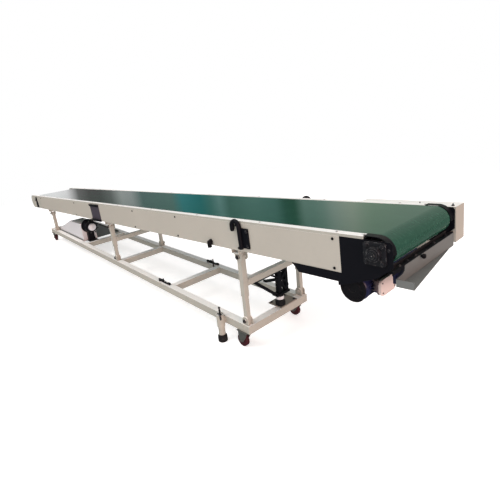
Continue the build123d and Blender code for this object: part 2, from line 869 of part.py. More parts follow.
def power_box():
    front = on_base(tray_front_share * bed_length + 12)
    back = on_base(tray_back_share * bed_length - 150)
    knee = front - 0.42 * (front - back)
    low = base_top
    wall = 3
    outline = ((back, low), (back, low + 24), (knee, low + 226), (front, low + 240), (front, low))
    hollow = (
        (back + wall, low - 1),
        (back + wall, low + 20),
        (knee, low + 226 - wall),
        (front - wall, low + 240 - wall),
        (front - wall, low - 1),
    )
    return plate_xz(outline, -box_reach, -60) - plate_xz(hollow, -box_reach + wall, -60 - wall)


def pump_motor():
    x0 = on_base(tray_front_share * bed_length + 12)
    x1 = x0 + 150
    z = base_top + pump_rise
    flange = round_x(x0, x0 + 22, pump_row, z, pump_radius)
    body = round_x(x0 + 20, x1, pump_row, z, pump_radius - 14)
    body = fillet(body.edges().filter_by(GeomType.CIRCLE).sort_by(Axis.X)[-1], 30)
    leg = block(x0, x0 + 60, pump_row - 40, pump_row + 40, base_top, z - 40)
    shelf = block(x0, x0 + 130, pump_row - 60, pump_row + 60, base_top, base_top + 6)
    return joined([flange, body, leg, shelf])


# Pieces of the bed, and every other node with its shape.
nodes = {
    "side_rails": side_rails(),
    "side_cover_near": side_covers(),
    "side_cover_far": far_side(side_covers()),
    "splice_brackets": splice_brackets(),
    "slider_deck": slider_deck(),
    "bed_cross_members": bed_cross_members(),
    "post_brackets": post_brackets(),
    "belt": belt_loop(),
    "head_drum": drum(head_x, -frame_half_width - seat - shaft_reach, frame_half_width),
    "tail_drum": drum(tail_x, -frame_half_width - 14, frame_half_width + 14),
    "return_rollers": return_rollers(),
    "head_plate_near": head_plate(),
    "head_plate_far": far_side(head_plate()),
    "drive_cover": drive_cover(),
    "head_bearing": head_bearings(),
    "motor": motor_body(),
    "gearbox": gearbox(),
    "terminal_box": terminal_box(),
    "motor_skirt": motor_skirt(),
    "head_guard": head_guard(),
    "head_bar": head_bar(),
    "tail_plates": both_sides(tail_plate()),
    "take_ups": both_sides(take_up()),
    "hooks": both_sides(hook()),
    "cable_gland": cable_gland(),
}
nodes = {name: tipped(shape) for name, shape in nodes.items()}
nodes |= {
    "base_rail_near": base_rail(),
    "base_rail_far": far_side(base_rail()),
    "base_beams": base_beams(),
    "front_lower_posts": lower_posts(front_post_station),
    "mid_lower_posts": lower_posts(mid_post_station),
    "tail_posts": tail_posts(),
    "jack_plate": jack_plate(),
    "jack_body": jack_body(),
    "caster_plates": caster_plates(),
    "foot_sleeves": foot_sleeves(),
    "lock_pins": lock_pins(),
    "tail_tray": tail_tray(),
    "power_box": power_box(),
    "pump_motor": pump_motor(),
    "front_upper_posts": upper_posts(front_post_station),
    "front_crossbeam": post_beam(front_post_station),
    "spreader": spreader(),
    "jack_ram": jack_ram(),
    "jack_stage": jack_stage(),
    "mid_upper_posts": upper_posts(mid_post_station),
    "mid_crossbeam": post_beam(mid_post_station),
}
for spot, (x, y) in caster_spots().items():
    nodes[f"caster_fork_{spot}"] = caster_fork(x, y)
    nodes[f"caster_wheel_{spot}"] = caster_wheel(x, y)
for spot, (x, y) in foot_spots().items():
    pad, stem = screw_foot(x, y)
    nodes[f"foot_{spot}"] = pad + stem

# The origin lies on the floor under the middle of the overall length and width.
boxes = [shape.bounding_box() for shape in nodes.values()]
middle_x = (min(box.min.X for box in boxes) + max(box.max.X for box in boxes)) / 2
middle_y = (min(box.min.Y for box in boxes) + max(box.max.Y for box in boxes)) / 2

os.makedirs("parts", exist_ok=True)
for name, shape in nodes.items():
    export_step(Pos(-middle_x, -middle_y, 0) * shape, f"parts/{name}.step")
print("middle", round(middle_x, 4), round(middle_y, 4), "hinge", round(hinge_x, 4), round(pivot_z, 4))
print("front posts", post_x(front_post_station), post_top(front_post_station), "ground", ground_x)
print("mid posts", post_x(mid_post_station), post_top(mid_post_station), "jack top", jack_top)
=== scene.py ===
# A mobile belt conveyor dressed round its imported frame, in metres.
# +X runs towards the drive drum, -Y is the side of the motor's end, +Z is up from the floor.
import json
import math

import bmesh
import bpy
from mathutils import Matrix, Vector


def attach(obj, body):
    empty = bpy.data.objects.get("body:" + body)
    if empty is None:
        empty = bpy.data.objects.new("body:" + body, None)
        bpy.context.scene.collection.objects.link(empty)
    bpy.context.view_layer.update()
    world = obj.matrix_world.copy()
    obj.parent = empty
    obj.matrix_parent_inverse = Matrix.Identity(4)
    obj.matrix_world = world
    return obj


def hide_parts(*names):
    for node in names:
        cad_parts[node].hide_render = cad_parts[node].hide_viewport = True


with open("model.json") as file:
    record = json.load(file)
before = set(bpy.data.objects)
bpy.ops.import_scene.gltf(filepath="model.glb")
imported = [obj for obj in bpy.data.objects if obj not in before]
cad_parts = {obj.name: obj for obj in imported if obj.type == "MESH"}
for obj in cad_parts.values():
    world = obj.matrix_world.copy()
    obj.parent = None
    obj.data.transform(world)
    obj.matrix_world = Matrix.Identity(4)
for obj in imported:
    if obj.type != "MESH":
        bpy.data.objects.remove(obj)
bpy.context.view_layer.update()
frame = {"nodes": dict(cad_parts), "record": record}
nodes = frame["nodes"]
slotOf = {part["node"]: part["material_slot"] for part in frame["record"]["subparts"]}
scene = bpy.context.scene

# Places shared by several pieces, as in the part's own source: the bed still level, before it is tipped up.
place = {
    "coverFront": 3.100,  # front end of the side covers
    "deck": 0.742,  # top of the belt
    "halfWidth": 0.336,  # outer face of the covers
    "drumZ": 0.6697,
    "headX": 3.284,
    "hinge": (-2.150, 0.482),  # tail posts' pins, about which the bed is tipped
    "slope": math.radians(2.96),
    "tailPost": 5.250,
    "pinDrop": 0.260,
    "baseLow": 0.142,
    "baseTop": 0.202,
    "middle": (0.1608304, 0.03515),  # the part's own origin in these places
}
bothSides = ((-1, "near"), (1, "far"))
hingeX, hingeZ = place["hinge"]
groundX = hingeX + place["tailPost"] * math.cos(place["slope"]) - place["pinDrop"] * math.sin(place["slope"])
toOrigin = Matrix.Translation((-place["middle"][0], -place["middle"][1], 0))
aboutHinge = Matrix.Translation((hingeX, 0, hingeZ)) @ Matrix.Rotation(-place["slope"], 4, "Y")
bedTurn = toOrigin @ aboutHinge @ Matrix.Translation((-hingeX, 0, -hingeZ))


# Stations are metres back from the front end of the side covers.
def at(station):
    return place["coverFront"] - station


def onBase(station):
    return groundX - station


def postX(station):
    return hingeX + (place["tailPost"] - station) * math.cos(place["slope"])


def postTop(station):
    return hingeZ + (place["tailPost"] - station) * math.sin(place["slope"])


# Camera, light and floor
cameraSet = {
    "place": (3.90608, -1.79509, 1.57401),
    "right": (0.66033, 0.74407, -0.10163),
    "down": (0.15327, -0.26601, -0.95171),
    "ahead": (-0.73517, 0.61286, -0.28970),
    "lens": 26.888,
    "shift": (0.01986, -0.03489),
}


def makeCamera():
    data = bpy.data.cameras.new("photoCamera")
    camera = bpy.data.objects.new("photoCamera", data)
    scene.collection.objects.link(camera)
    right, down, ahead = (Vector(cameraSet[k]).normalized() for k in ("right", "down", "ahead"))
    turn = Matrix((right, -down, -ahead)).transposed()
    camera.matrix_world = Matrix.Translation(cameraSet["place"]) @ turn.to_4x4()
    data.sensor_width = 36
    data.lens = cameraSet["lens"]
    data.shift_x, data.shift_y = cameraSet["shift"]
    data.clip_start, data.clip_end = 0.05, 200
    scene.camera = camera


studio = {
    "skyLevel": 0.62,
    "skyTint": (0.97, 0.985, 1.0),
    "lamps": (
        # name, level, turn about X, Y and Z in degrees, degrees across, tint
        ("ceilingLight", 1.40, (28, -14, 0), 38, (1.0, 0.975, 0.94)),
        ("doorLight", 2.3, (0, 79, -12), 40, (1.0, 0.62, 0.52)),  # warm daylight from the +X end
    ),
    "floorRadius": 40,
    "floorDrop": 0.0005,
    "floorTint": (0.90, 0.90, 0.90),
    "floorGlow": 0.52,
    "floorMirrored": (0.13, 0.14, 0.13),  # what glossy faces see of it
    "fadeFrom": 4.2,  # the floor's own shading fades to white from here out
    "fadeTo": 8.0,
}

# The hall that glossy faces mirror: plain walls, pillars, doors and windows by degrees from +X.
hall = (
    # direction, colour
    (-180, (0.16, 0.17, 0.18)),
    (-40, (0.12, 0.13, 0.13)),
    (35, (0.06, 0.07, 0.06)),
    (60, (0.20, 0.23, 0.20)),
    (80, (0.40, 0.44, 0.39)),
    (116, (0.38, 0.46, 0.38)),
    (121.5, (0.40, 0.50, 0.38)),
    (124, (0.60, 0.64, 0.54)),
    (127, (0.42, 0.50, 0.46)),
    (128.4, (0.23, 0.34, 0.30)),
    (131.3, (0.22, 0.32, 0.29)),
    (131.7, (0.02, 0.05, 0.03)),
    (133.9, (0.03, 0.07, 0.06)),
    (134.8, (0.10, 0.20, 0.19)),
    (138.5, (0.14, 0.26, 0.24)),
    (142.4, (0.08, 0.16, 0.15)),
    (143.5, (0.19, 0.34, 0.34)),
    (144.6, (0.10, 0.22, 0.21)),
    (145.4, (0.02, 0.17, 0.19)),
    (149, (0.05, 0.26, 0.30)),
    (150, (0.14, 0.22, 0.21)),
    (155.4, (0.13, 0.17, 0.18)),
    (156.1, (0.40, 0.41, 0.42)),
    (157.1, (0.27, 0.27, 0.27)),
    (157.6, (0.47, 0.48, 0.48)),
    (159.2, (0.10, 0.08, 0.09)),
    (162.9, (0.11, 0.08, 0.09)),
    (163.4, (0.28, 0.26, 0.27)),
    (164.2, (0.30, 0.27, 0.28)),
    (164.6, (1.10, 1.08, 1.10)),
    (170, (0.95, 0.95, 0.95)),
)


def newTree(owner):
    owner.use_nodes = True
    tree = owner.node_tree
    tree.nodes.clear()
    return tree


def addNode(tree, kind):
    return tree.nodes.new(f"ShaderNode{kind}")


def setInputs(node, values):
    for label, value in values.items():
        node.inputs[label].default_value = (*value, 1) if isinstance(value, tuple) else value


def newPaint(name):
    material = bpy.data.materials.new(name)
    tree = newTree(material)
    out = addNode(tree, "OutputMaterial")
    shade = addNode(tree, "BsdfPrincipled")
    return material, tree, out, shade


def axesOf(tree, vector):
    parts = addNode(tree, "SeparateXYZ")
    tree.links.new(vector, parts.inputs[0])
    return parts.outputs


def objectPlace(tree):
    return addNode(tree, "TexCoord").outputs["Object"]


def surfaceNormal(tree):
    return addNode(tree, "NewGeometry").outputs["Normal"]


def mixShaders(tree, share, first, second):
    node = addNode(tree, "MixShader")
    for socket, value in zip(node.inputs, (share, first, second)):
        tree.links.new(value, socket)
    return node.outputs[0]


def makeHall(tree):
    # brightness by compass direction, from a ramp with a point for each direction
    direction = axesOf(tree, addNode(tree, "TexCoord").outputs["Generated"])
    turn = addNode(tree, "Math")
    turn.operation = "ARCTAN2"
    tree.links.new(direction["Y"], turn.inputs[0])
    tree.links.new(direction["X"], turn.inputs[1])
    share = addNode(tree, "MapRange")
    setInputs(share, {"From Min": -math.pi, "From Max": math.pi})
    tree.links.new(turn.outputs[0], share.inputs["Value"])
    ramp = addNode(tree, "ValToRGB")
    points = ramp.color_ramp.elements
    for i, (degrees, tint) in enumerate(hall):
        spot = (degrees + 180) / 360
        point = points[i] if i < 2 else points.new(spot)  # a new ramp has two points
        point.position = spot
        point.color = (*tint, 1)
    tree.links.new(share.outputs["Result"], ramp.inputs["Fac"])
    return ramp.outputs["Color"]


def makeSky():
    # a pale sky lights the part, glossy faces see the hall, and the camera sees white
    world = bpy.data.worlds.new("softRoom")
    scene.world = world
    tree = newTree(world)
    out = addNode(tree, "OutputWorld")
    light = addNode(tree, "Background")
    setInputs(light, {"Color": studio["skyTint"], "Strength": studio["skyLevel"]})
    white = addNode(tree, "Background")
    setInputs(white, {"Color": (1, 1, 1)})
    mirror = addNode(tree, "Background")
    tree.links.new(makeHall(tree), mirror.inputs["Color"])
    path = addNode(tree, "LightPath")
    unseen = mixShaders(tree, path.outputs["Is Glossy Ray"], light.outputs[0], mirror.outputs[0])
    seen = mixShaders(tree, path.outputs["Is Camera Ray"], unseen, white.outputs[0])
    tree.links.new(seen, out.inputs["Surface"])


def makeLamps():
    for name, level, turn, wide, tint in studio["lamps"]:
        sun = bpy.data.lights.new(name, "SUN")
        sun.energy = level
        sun.angle = math.radians(wide)
        sun.color = tint
        lamp = bpy.data.objects.new(name, sun)
        lamp.rotation_euler = [math.radians(a) for a in turn]
        scene.collection.objects.link(lamp)


def makeFloor():
    mesh = bpy.data.meshes.new("floor")
    form = bmesh.new()
    bmesh.ops.create_circle(form, cap_ends=True, segments=96, radius=studio["floorRadius"])
    bmesh.ops.translate(form, verts=form.verts, vec=(0, 0, -studio["floorDrop"]))
    form.to_mesh(mesh)
    form.free()
    floor = bpy.data.objects.new("floor", mesh)
    scene.collection.objects.link(floor)
    paint, tree, out, shade = newPaint("paleFloor")
    setInputs(shade, {"Base Color": studio["floorTint"], "Roughness": 0.9, "Specular IOR Level": 0.1})
    setInputs(shade, {"Emission Color": (1, 1, 1), "Emission Strength": studio["floorGlow"]})
    glow = addNode(tree, "Emission")
    mirrored = addNode(tree, "Emission")
    setInputs(mirrored, {"Color": studio["floorMirrored"]})
    length = addNode(tree, "VectorMath")
    length.operation = "LENGTH"
    fade = addNode(tree, "MapRange")
    fade.interpolation_type = "SMOOTHSTEP"
    setInputs(fade, {"From Min": studio["fadeFrom"], "From Max": studio["fadeTo"]})
    tree.links.new(objectPlace(tree), length.inputs[0])
    tree.links.new(length.outputs["Value"], fade.inputs["Value"])
    faded = mixShaders(tree, fade.outputs["Result"], shade.outputs[0], glow.outputs[0])
    path = addNode(tree, "LightPath")
    shown = mixShaders(tree, path.outputs["Is Glossy Ray"], faded, mirrored.outputs[0])
    tree.links.new(shown, out.inputs["Surface"])
    floor.data.materials.append(paint)


makeCamera()
makeSky()
makeLamps()
makeFloor()
scene.view_settings.view_transform = "Standard"
print("camera, light and floor made")

# Shader groups: each puts out colours, masks, roughness values or heights


def groupTree(name, inputs, outputs):
    tree = bpy.data.node_groups.new(name, "ShaderNodeTree")
    for label, kind, value in inputs:
        socket = tree.interface.new_socket(label, in_out="INPUT", socket_type=kind)
        socket.default_value = value
    for label, kind in outputs:
        tree.interface.new_socket(label, in_out="OUTPUT", socket_type=kind)
    start = tree.nodes.new("NodeGroupInput")
    end = tree.nodes.new("NodeGroupOutput")
    return tree, start, end


number, colour = "NodeSocketFloat", "NodeSocketColor"


def addNoise(tree, vector, scale, detail=3.0, roughness=0.55):
    noise = addNode(tree, "TexNoise")
    setInputs(noise, {"Detail": detail, "Roughness": roughness})
    tree.links.new(vector, noise.inputs["Vector"])
    if isinstance(scale, (int, float)):
        noise.inputs["Scale"].default_value = scale
    else:
        tree.links.new(scale, noise.inputs["Scale"])
    return noise.outputs["Fac"]


def addMath(tree, operation, first, second, clamp=False):
    node = addNode(tree, "Math")
    node.operation = operation
    node.use_clamp = clamp
    for socket, value in zip(node.inputs, (first, second)):
        if isinstance(value, (int, float)):
            socket.default_value = value
        elif value is not None:
            tree.links.new(value, socket)
    return node.outputs[0]


def addRange(tree, value, low, high, toLow=0.0, toHigh=1.0):
    node = addNode(tree, "MapRange")
    values = {"Value": value, "From Min": low, "From Max": high, "To Min": toLow, "To Max": toHigh}
    for label, given in values.items():
        if isinstance(given, (int, float)):
            node.inputs[label].default_value = given
        else:
            tree.links.new(given, node.inputs[label])
    return node.outputs["Result"]


def addMix(tree, share, first, second, mode="MIX"):
    node = addNode(tree, "Mix")
    node.data_type = "RGBA"
    node.blend_type = mode
    for socket, value in ((node.inputs[0], share), (node.inputs[6], first), (node.inputs[7], second)):
        if isinstance(value, (int, float)):
            socket.default_value = value
        elif isinstance(value, tuple):
            socket.default_value = (*value, 1)
        else:
            tree.links.new(value, socket)
    return node.outputs[2]


# Clouded tone: slow and fine variation of one colour.
def makeToneGroup():
    tree, start, end = groupTree(
        "cloudedTone",
        (("Colour", colour, (0.5, 0.5, 0.5, 1)), ("Size", number, 3.0), ("Amount", number, 0.06)),
        (("Colour", colour), ("Cloud", number)),
    )
    where = objectPlace(tree)
    slow = addNoise(tree, where, start.outputs["Size"])
    fine = addNoise(tree, where, addMath(tree, "MULTIPLY", start.outputs["Size"], 17.0), 2.0)
    cloud = addMath(tree, "ADD", addMath(tree, "MULTIPLY", slow, 0.7), addMath(tree, "MULTIPLY", fine, 0.3))
    swing = addMath(tree, "MULTIPLY", addMath(tree, "SUBTRACT", cloud, 0.5), start.outputs["Amount"])
    gain = addMath(tree, "ADD", addMath(tree, "MULTIPLY", swing, 4.0), 1.0)
    scale = addNode(tree, "VectorMath")
    scale.operation = "SCALE"
    tree.links.new(start.outputs["Colour"], scale.inputs[0])
    tree.links.new(gain, scale.inputs["Scale"])
    tree.links.new(scale.outputs[0], end.inputs["Colour"])
    tree.links.new(cloud, end.inputs["Cloud"])
    return tree


# Edge wear: a mask that is 1 on rubbed corners, broken up by noise.
def makeWearGroup():
    tree, start, end = groupTree(
        "edgeWear",
        (("Width", number, 0.003), ("Break Size", number, 60.0), ("Amount", number, 0.5)),
        (("Mask", number),),
    )
    soft = addNode(tree, "Bevel")
    soft.samples = 4
    tree.links.new(start.outputs["Width"], soft.inputs["Radius"])
    agree = addNode(tree, "VectorMath")
    agree.operation = "DOT_PRODUCT"
    tree.links.new(soft.outputs[0], agree.inputs[0])
    tree.links.new(surfaceNormal(tree), agree.inputs[1])
    edge = addRange(tree, agree.outputs["Value"], 0.97, 0.80)
    where = objectPlace(tree)
    broken = addNoise(tree, where, start.outputs["Break Size"], 5.0)
    limit = addMath(tree, "SUBTRACT", 1.0, start.outputs["Amount"])
    shown = addRange(tree, broken, limit, addMath(tree, "ADD", limit, 0.12))
    tree.links.new(addMath(tree, "MULTIPLY", edge, shown, True), end.inputs["Mask"])
    return tree


# Shop dirt: a mask for dust that settles on upward faces and grime towards the floor.
def makeDirtGroup():
    tree, start, end = groupTree(
        "shopDirt",
        (("Dust", number, 0.3), ("Grime Height", number, 0.25), ("Grime", number, 0.3)),
        (("Dust", number), ("Grime", number)),
    )
    coord = objectPlace(tree)
    up = addRange(tree, axesOf(tree, surfaceNormal(tree))["Z"], 0.5, 0.95)
    cloud = addRange(tree, addNoise(tree, coord, 9.0, 6.0, 0.65), 0.35, 0.7)
    dust = addMath(tree, "MULTIPLY", addMath(tree, "MULTIPLY", up, cloud), start.outputs["Dust"], True)
    low = addRange(tree, axesOf(tree, coord)["Z"], start.outputs["Grime Height"], 0.0)
    spots = addRange(tree, addNoise(tree, coord, 26.0, 6.0, 0.7), 0.42, 0.68)
    grime = addMath(tree, "MULTIPLY", addMath(tree, "MULTIPLY", low, spots), start.outputs["Grime"], True)
    tree.links.new(dust, end.inputs["Dust"])
    tree.links.new(grime, end.inputs["Grime"])
    return tree


# Surface grain: a fine height, stretched along one axis where the finish is brushed or woven.
def makeGrainGroup():
    tree, start, end = groupTree(
        "surfaceGrain",
        (("Scale", number, 400.0), *((f"Stretch {axis}", number, 1.0) for axis in "XYZ")),
        (("Height", number), ("Wide", number)),
    )
    where = objectPlace(tree)
    stretch = addNode(tree, "CombineXYZ")
    for axis in "XYZ":
        tree.links.new(start.outputs[f"Stretch {axis}"], stretch.inputs[axis])
    scaled = addNode(tree, "VectorMath")
    scaled.operation = "MULTIPLY"
    tree.links.new(where, scaled.inputs[0])
    tree.links.new(stretch.outputs[0], scaled.inputs[1])
    tree.links.new(addNoise(tree, scaled.outputs[0], start.outputs["Scale"], 2.0), end.inputs["Height"])
    wide = addNoise(tree, scaled.outputs[0], addMath(tree, "MULTIPLY", start.outputs["Scale"], 0.08), 3.0)
    tree.links.new(wide, end.inputs["Wide"])
    return tree


toneGroup = makeToneGroup()
wearGroup = makeWearGroup()
dirtGroup = makeDirtGroup()
grainGroup = makeGrainGroup()


def useGroup(tree, group, **values):
    node = addNode(tree, "Group")
    node.node_tree = group
    setInputs(node, {label.replace("_", " "): value for label, value in values.items()})
    return node


def addBump(tree, height, strength, shade):
    bump = addNode(tree, "Bump")
    setInputs(bump, {"Strength": strength, "Distance": 0.001})
    tree.links.new(height, bump.inputs["Height"])
    tree.links.new(bump.outputs[0], shade.inputs["Normal"])


# One finish: tone, painted light on the upward faces of the white and cream paints, dirt and wear over a
# Principled shader, with its even values on the shader itself.
finishes = (
    # slot, tone, roughness, dust, grime, worn tone, wear, coat, peel
    ("white_paint", (0.365, 0.355, 0.310), 0.46, 0.04, 0.35, (0.26, 0.24, 0.22), 0.42, 0.08, 0.05),
    ("cream_paint", (0.400, 0.380, 0.332), 0.42, 0.05, 0.1, (0.38, 0.36, 0.32), 0.36, 0.1, 0.05),
    ("dark_bracket_paint", (0.052, 0.045, 0.062), 0.45, 0.10, 0.1, (0.25, 0.24, 0.25), 0.46, 0.0, 0.08),
    ("black_paint", (0.0045, 0.0050, 0.0085), 0.46, 0.06, 0.1, (0.10, 0.10, 0.11), 0.40, 0.0, 0.08),
    ("black_iron", (0.012, 0.013, 0.017), 0.48, 0.08, 0.1, (0.20, 0.20, 0.20), 0.5, 0.0, 0.30),
    ("grey_paint", (0.142, 0.152, 0.148), 0.50, 0.10, 0.2, (0.35, 0.35, 0.34), 0.4, 0.1, 0.08),
    ("light_grey_paint", (0.60, 0.60, 0.62), 0.36, 0.15, 0.3, (0.3, 0.3, 0.3), 0.4, 0.2, 0.05),
    ("brown_grey_paint", (0.21, 0.185, 0.16), 0.55, 0.3, 0.5, (0.13, 0.07, 0.04), 0.55, 0.0, 0.15),
    ("motor_blue_paint", (0.011, 0.013, 0.048), 0.34, 0.06, 0.1, (0.16, 0.16, 0.20), 0.4, 0.12, 0.12),
    ("terminal_box_plastic", (0.62, 0.50, 0.465), 0.45, 0.1, 0.1, (0.5, 0.42, 0.38), 0.3, 0.0, 0.10),
    # a darker tone for the terminal box's body: painted shade on its shaded side
    ("terminal_box_base", (0.115, 0.085, 0.090), 0.5, 0.05, 0.1, (0.25, 0.2, 0.2), 0.3, 0.0, 0.10),
    ("black_plastic", (0.006, 0.006, 0.008), 0.45, 0.05, 0.1, (0.05, 0.05, 0.05), 0.3, 0.0, 0.15),
    ("galvanised_sheet", (0.48, 0.49, 0.50), 0.42, 0.15, 0.2, (0.4, 0.4, 0.4), 0.3, 0.0, 0.05),
    ("steel", (0.52, 0.52, 0.52), 0.30, 0.05, 0.2, (0.6, 0.6, 0.6), 0.3, 0.0, 0.05),
    ("zinc", (0.105, 0.115, 0.108), 0.46, 0.15, 0.5, (0.35, 0.35, 0.33), 0.45, 0.0, 0.10),
    ("red_wheel", (0.050, 0.006, 0.012), 0.50, 0.05, 0.35, (0.16, 0.05, 0.05), 0.4, 0.0, 0.15),
    ("black_rubber", (0.010, 0.010, 0.012), 0.70, 0.12, 0.2, (0.05, 0.05, 0.05), 0.5, 0.0, 0.25),
)
finishSet = {
    "size": 2.2,  # of the clouds in a tone
    "grimeHeight": 0.22,
    "dustTone": (0.42, 0.39, 0.34),
    "grimeTone": (0.045, 0.040, 0.036),
    "edge": 0.0035,
    "grain": 420.0,
    "coatRough": 0.18,
    "metal": {"galvanised_sheet": 0.85, "steel": 1.0, "zinc": 0.4},
    # upward faces of the white and cream paints get a lighter tone: painted light from above
    "paintedTopLight": {"white_paint": (0.93, 0.925, 0.905), "cream_paint": (0.90, 0.89, 0.87)},  # of upward faces
    "shine": {
        # slot: share of the usual mirroring, where it isn't a half
        "dark_bracket_paint": 0.2,
        "black_paint": 0.14,
        "black_iron": 0.22,
        "grey_paint": 0.18,
        "motor_blue_paint": 0.25,
        "terminal_box_base": 0.2,
        "black_plastic": 0.15,
        "red_wheel": 0.2,
        "black_rubber": 0.15,
    },
}


def makeFinish(name, tone, rough, dust, grime, worn, wear, coat, peel):
    material, tree, out, shade = newPaint(name)
    tree.links.new(shade.outputs[0], out.inputs["Surface"])
    metal, shine = finishSet["metal"].get(name, 0.0), finishSet["shine"].get(name, 0.5)
    setInputs(shade, {"Metallic": metal, "Specular IOR Level": shine})
    setInputs(shade, {"Coat Weight": coat, "Coat Roughness": finishSet["coatRough"]})
    body = useGroup(tree, toneGroup, Colour=tone, Size=finishSet["size"], Amount=0.05)
    dirt = useGroup(tree, dirtGroup, Dust=dust, Grime_Height=finishSet["grimeHeight"], Grime=grime)
    edge = useGroup(tree, wearGroup, Width=finishSet["edge"], Amount=wear)
    grain = useGroup(tree, grainGroup, Scale=finishSet["grain"])
    paint = body.outputs["Colour"]
    # painted light: upward faces are mixed towards a lighter tone
    if name in finishSet["paintedTopLight"]:
        paintedTopShare = addRange(tree, axesOf(tree, surfaceNormal(tree))["Z"], 0.55, 0.92)
        paint = addMix(tree, paintedTopShare, paint, finishSet["paintedTopLight"][name])
    dusty = addMix(tree, dirt.outputs["Dust"], paint, finishSet["dustTone"])
    grimy = addMix(tree, dirt.outputs["Grime"], dusty, finishSet["grimeTone"])
    rubbed = addMix(tree, edge.outputs["Mask"], grimy, worn)
    tree.links.new(rubbed, shade.inputs["Base Color"])
    spread = addRange(tree, body.outputs["Cloud"], 0.3, 0.7, rough - 0.05, rough + 0.07)
    allDirt = addMath(tree, "ADD", dirt.outputs["Dust"], dirt.outputs["Grime"])
    dirtRough = addMath(tree, "MULTIPLY", allDirt, 0.35)
    tree.links.new(addMath(tree, "ADD", spread, dirtRough, True), shade.inputs["Roughness"])
    addBump(tree, grain.outputs["Height"], peel, shade)
    return material


beltSet = {
    "tone": (0.016, 0.066, 0.044),
    "roughLow": 0.02,
    "roughHigh": 0.055,
    "streaks": 0.16,  # lengthwise rub marks
    "streakTone": (0.10, 0.26, 0.19),
    "scuffs": 0.14,
    "scuffTone": (0.008, 0.05, 0.032),
    "weave": 0.04,
}


def makeBeltFinish():
    material, tree, out, shade = newPaint("greenBelt")
    tree.links.new(shade.outputs[0], out.inputs["Surface"])
    setInputs(shade, {"IOR": 1.5})
    body = useGroup(tree, toneGroup, Colour=beltSet["tone"], Size=1.3, Amount=0.08)
    streak = useGroup(tree, grainGroup, Scale=90.0, Stretch_X=0.05, Stretch_Y=1.0, Stretch_Z=1.0)
    scuff = useGroup(tree, grainGroup, Scale=55.0, Stretch_X=0.35, Stretch_Y=1.6, Stretch_Z=1.0)
    rubbed = addRange(tree, streak.outputs["Height"], 0.52, 0.74, 0.0, beltSet["streaks"])
    paler = addMix(tree, rubbed, body.outputs["Colour"], beltSet["streakTone"])
    marks = addRange(tree, scuff.outputs["Height"], 0.60, 0.78, 0.0, beltSet["scuffs"])
    tree.links.new(addMix(tree, marks, paler, beltSet["scuffTone"]), shade.inputs["Base Color"])
    rough = addRange(tree, streak.outputs["Wide"], 0.3, 0.7, beltSet["roughLow"], beltSet["roughHigh"])
    marked = addMath(tree, "ADD", rough, addMath(tree, "MULTIPLY", marks, 0.5), True)
    tree.links.new(marked, shade.inputs["Roughness"])
    weave = useGroup(tree, grainGroup, Scale=700.0)
    addBump(tree, weave.outputs["Height"], beltSet["weave"], shade)
    return material


materials = {name: makeFinish(name, *values) for name, *values in finishes}
materials["green_belt"] = makeBeltFinish()
# nodes with a darker finish than their slot's: the jack's body in black rubber, and the terminal box's body
# in a darker tone that is painted shade
darkerOrShaded = {"terminal_box": "terminal_box_base", "jack_body": "black_rubber"}
for name, obj in nodes.items():
    obj.data.materials.clear()
    obj.data.materials.append(materials[darkerOrShaded.get(name, slotOf[name])])
print("materials made:", len(materials))

# Mesh helpers


def facing(origin, direction, spin=0.0):
    # a frame at origin with its own Z along direction
    turn = Vector(direction).to_track_quat("Z", "Y").to_matrix().to_4x4()
    return Matrix.Translation(origin) @ turn @ Matrix.Rotation(spin, 4, "Z")


def crossways(x):
    # a frame at x for plates that face +X, drawn in Y and Z
    return Matrix(((0, 0, 1, x), (1, 0, 0, 0), (0, 1, 0, 0), (0, 0, 0, 1)))


def circleSpots(count, radius=1.0, first=0.0):
    angles = [math.radians(first + 360 * i / count) for i in range(count)]
    return [(radius * math.cos(a), radius * math.sin(a)) for a in angles]


def joinRings(form, lower, upper):
    count = max(len(lower), len(upper))
    for i in range(count):
        j = (i + 1) % count
        if len(lower) == 1:
            form.faces.new((lower[0], upper[j], upper[i]))
        elif len(upper) == 1:
            form.faces.new((lower[i], lower[j], upper[0]))
        else:
            form.faces.new((lower[i], lower[j], upper[j], upper[i]))


def ringAt(form, where, radius, height, sides):
    return [form.verts.new(where @ Vector((x, y, height))) for x, y in circleSpots(sides, radius)]


def turned(form, profile, where, sides=20):
    # profile: (radius, height) from one end to the other, closed by its own end faces
    rings = []
    for radius, height in profile:
        if radius < 1e-6:
            rings.append([form.verts.new(where @ Vector((0, 0, height)))])
        else:
            rings.append(ringAt(form, where, radius, height, sides))
    for lower, upper in zip(rings, rings[1:]):
        joinRings(form, lower, upper)
    if len(rings[0]) > 1:
        form.faces.new(list(reversed(rings[0])))
    if len(rings[-1]) > 1:
        form.faces.new(rings[-1])


def ringTurned(form, profile, where, sides=24):
    # a closed profile swept right round, for washers, collars and tyres
    rings = [ringAt(form, where, radius, height, sides) for radius, height in profile]
    for lower, upper in zip(rings, rings[1:] + rings[:1]):
        joinRings(form, lower, upper)


def hexBolt(form, where, across=0.013, washer=0.012):
    # a washer with its radius, a head with its width across flats, and the bolt's end in it
    sheet = 0.0018
    high = across * 0.42
    turned(form, ((washer, 0), (washer, sheet), (across * 0.5, sheet)), where, 20)
    raised = where @ Matrix.Translation((0, 0, sheet - 0.0002))
    corner = across / math.sqrt(3)
    turned(form, ((corner, 0), (corner, high * 0.8), (corner * 0.86, high), (corner * 0.6, high)), raised, 6)
    turned(form, ((across * 0.42, 0), (across * 0.42, high), (across * 0.33, high * 1.12)), raised, 16)


def socketScrew(form, where, radius=0.007, high=0.004):
    head = ((radius, 0), (radius, high * 0.45), (radius * 0.78, high))
    socket = ((radius * 0.42, high), (radius * 0.36, high * 0.35))
    turned(form, head + socket, where, 18)


def bevelEdges(form, faces, width):
    edges = list({edge for face in faces for edge in face.edges})
    bmesh.ops.bevel(
        form, geom=edges, offset=width, segments=2, profile=0.5, affect="EDGES", clamp_overlap=True
    )


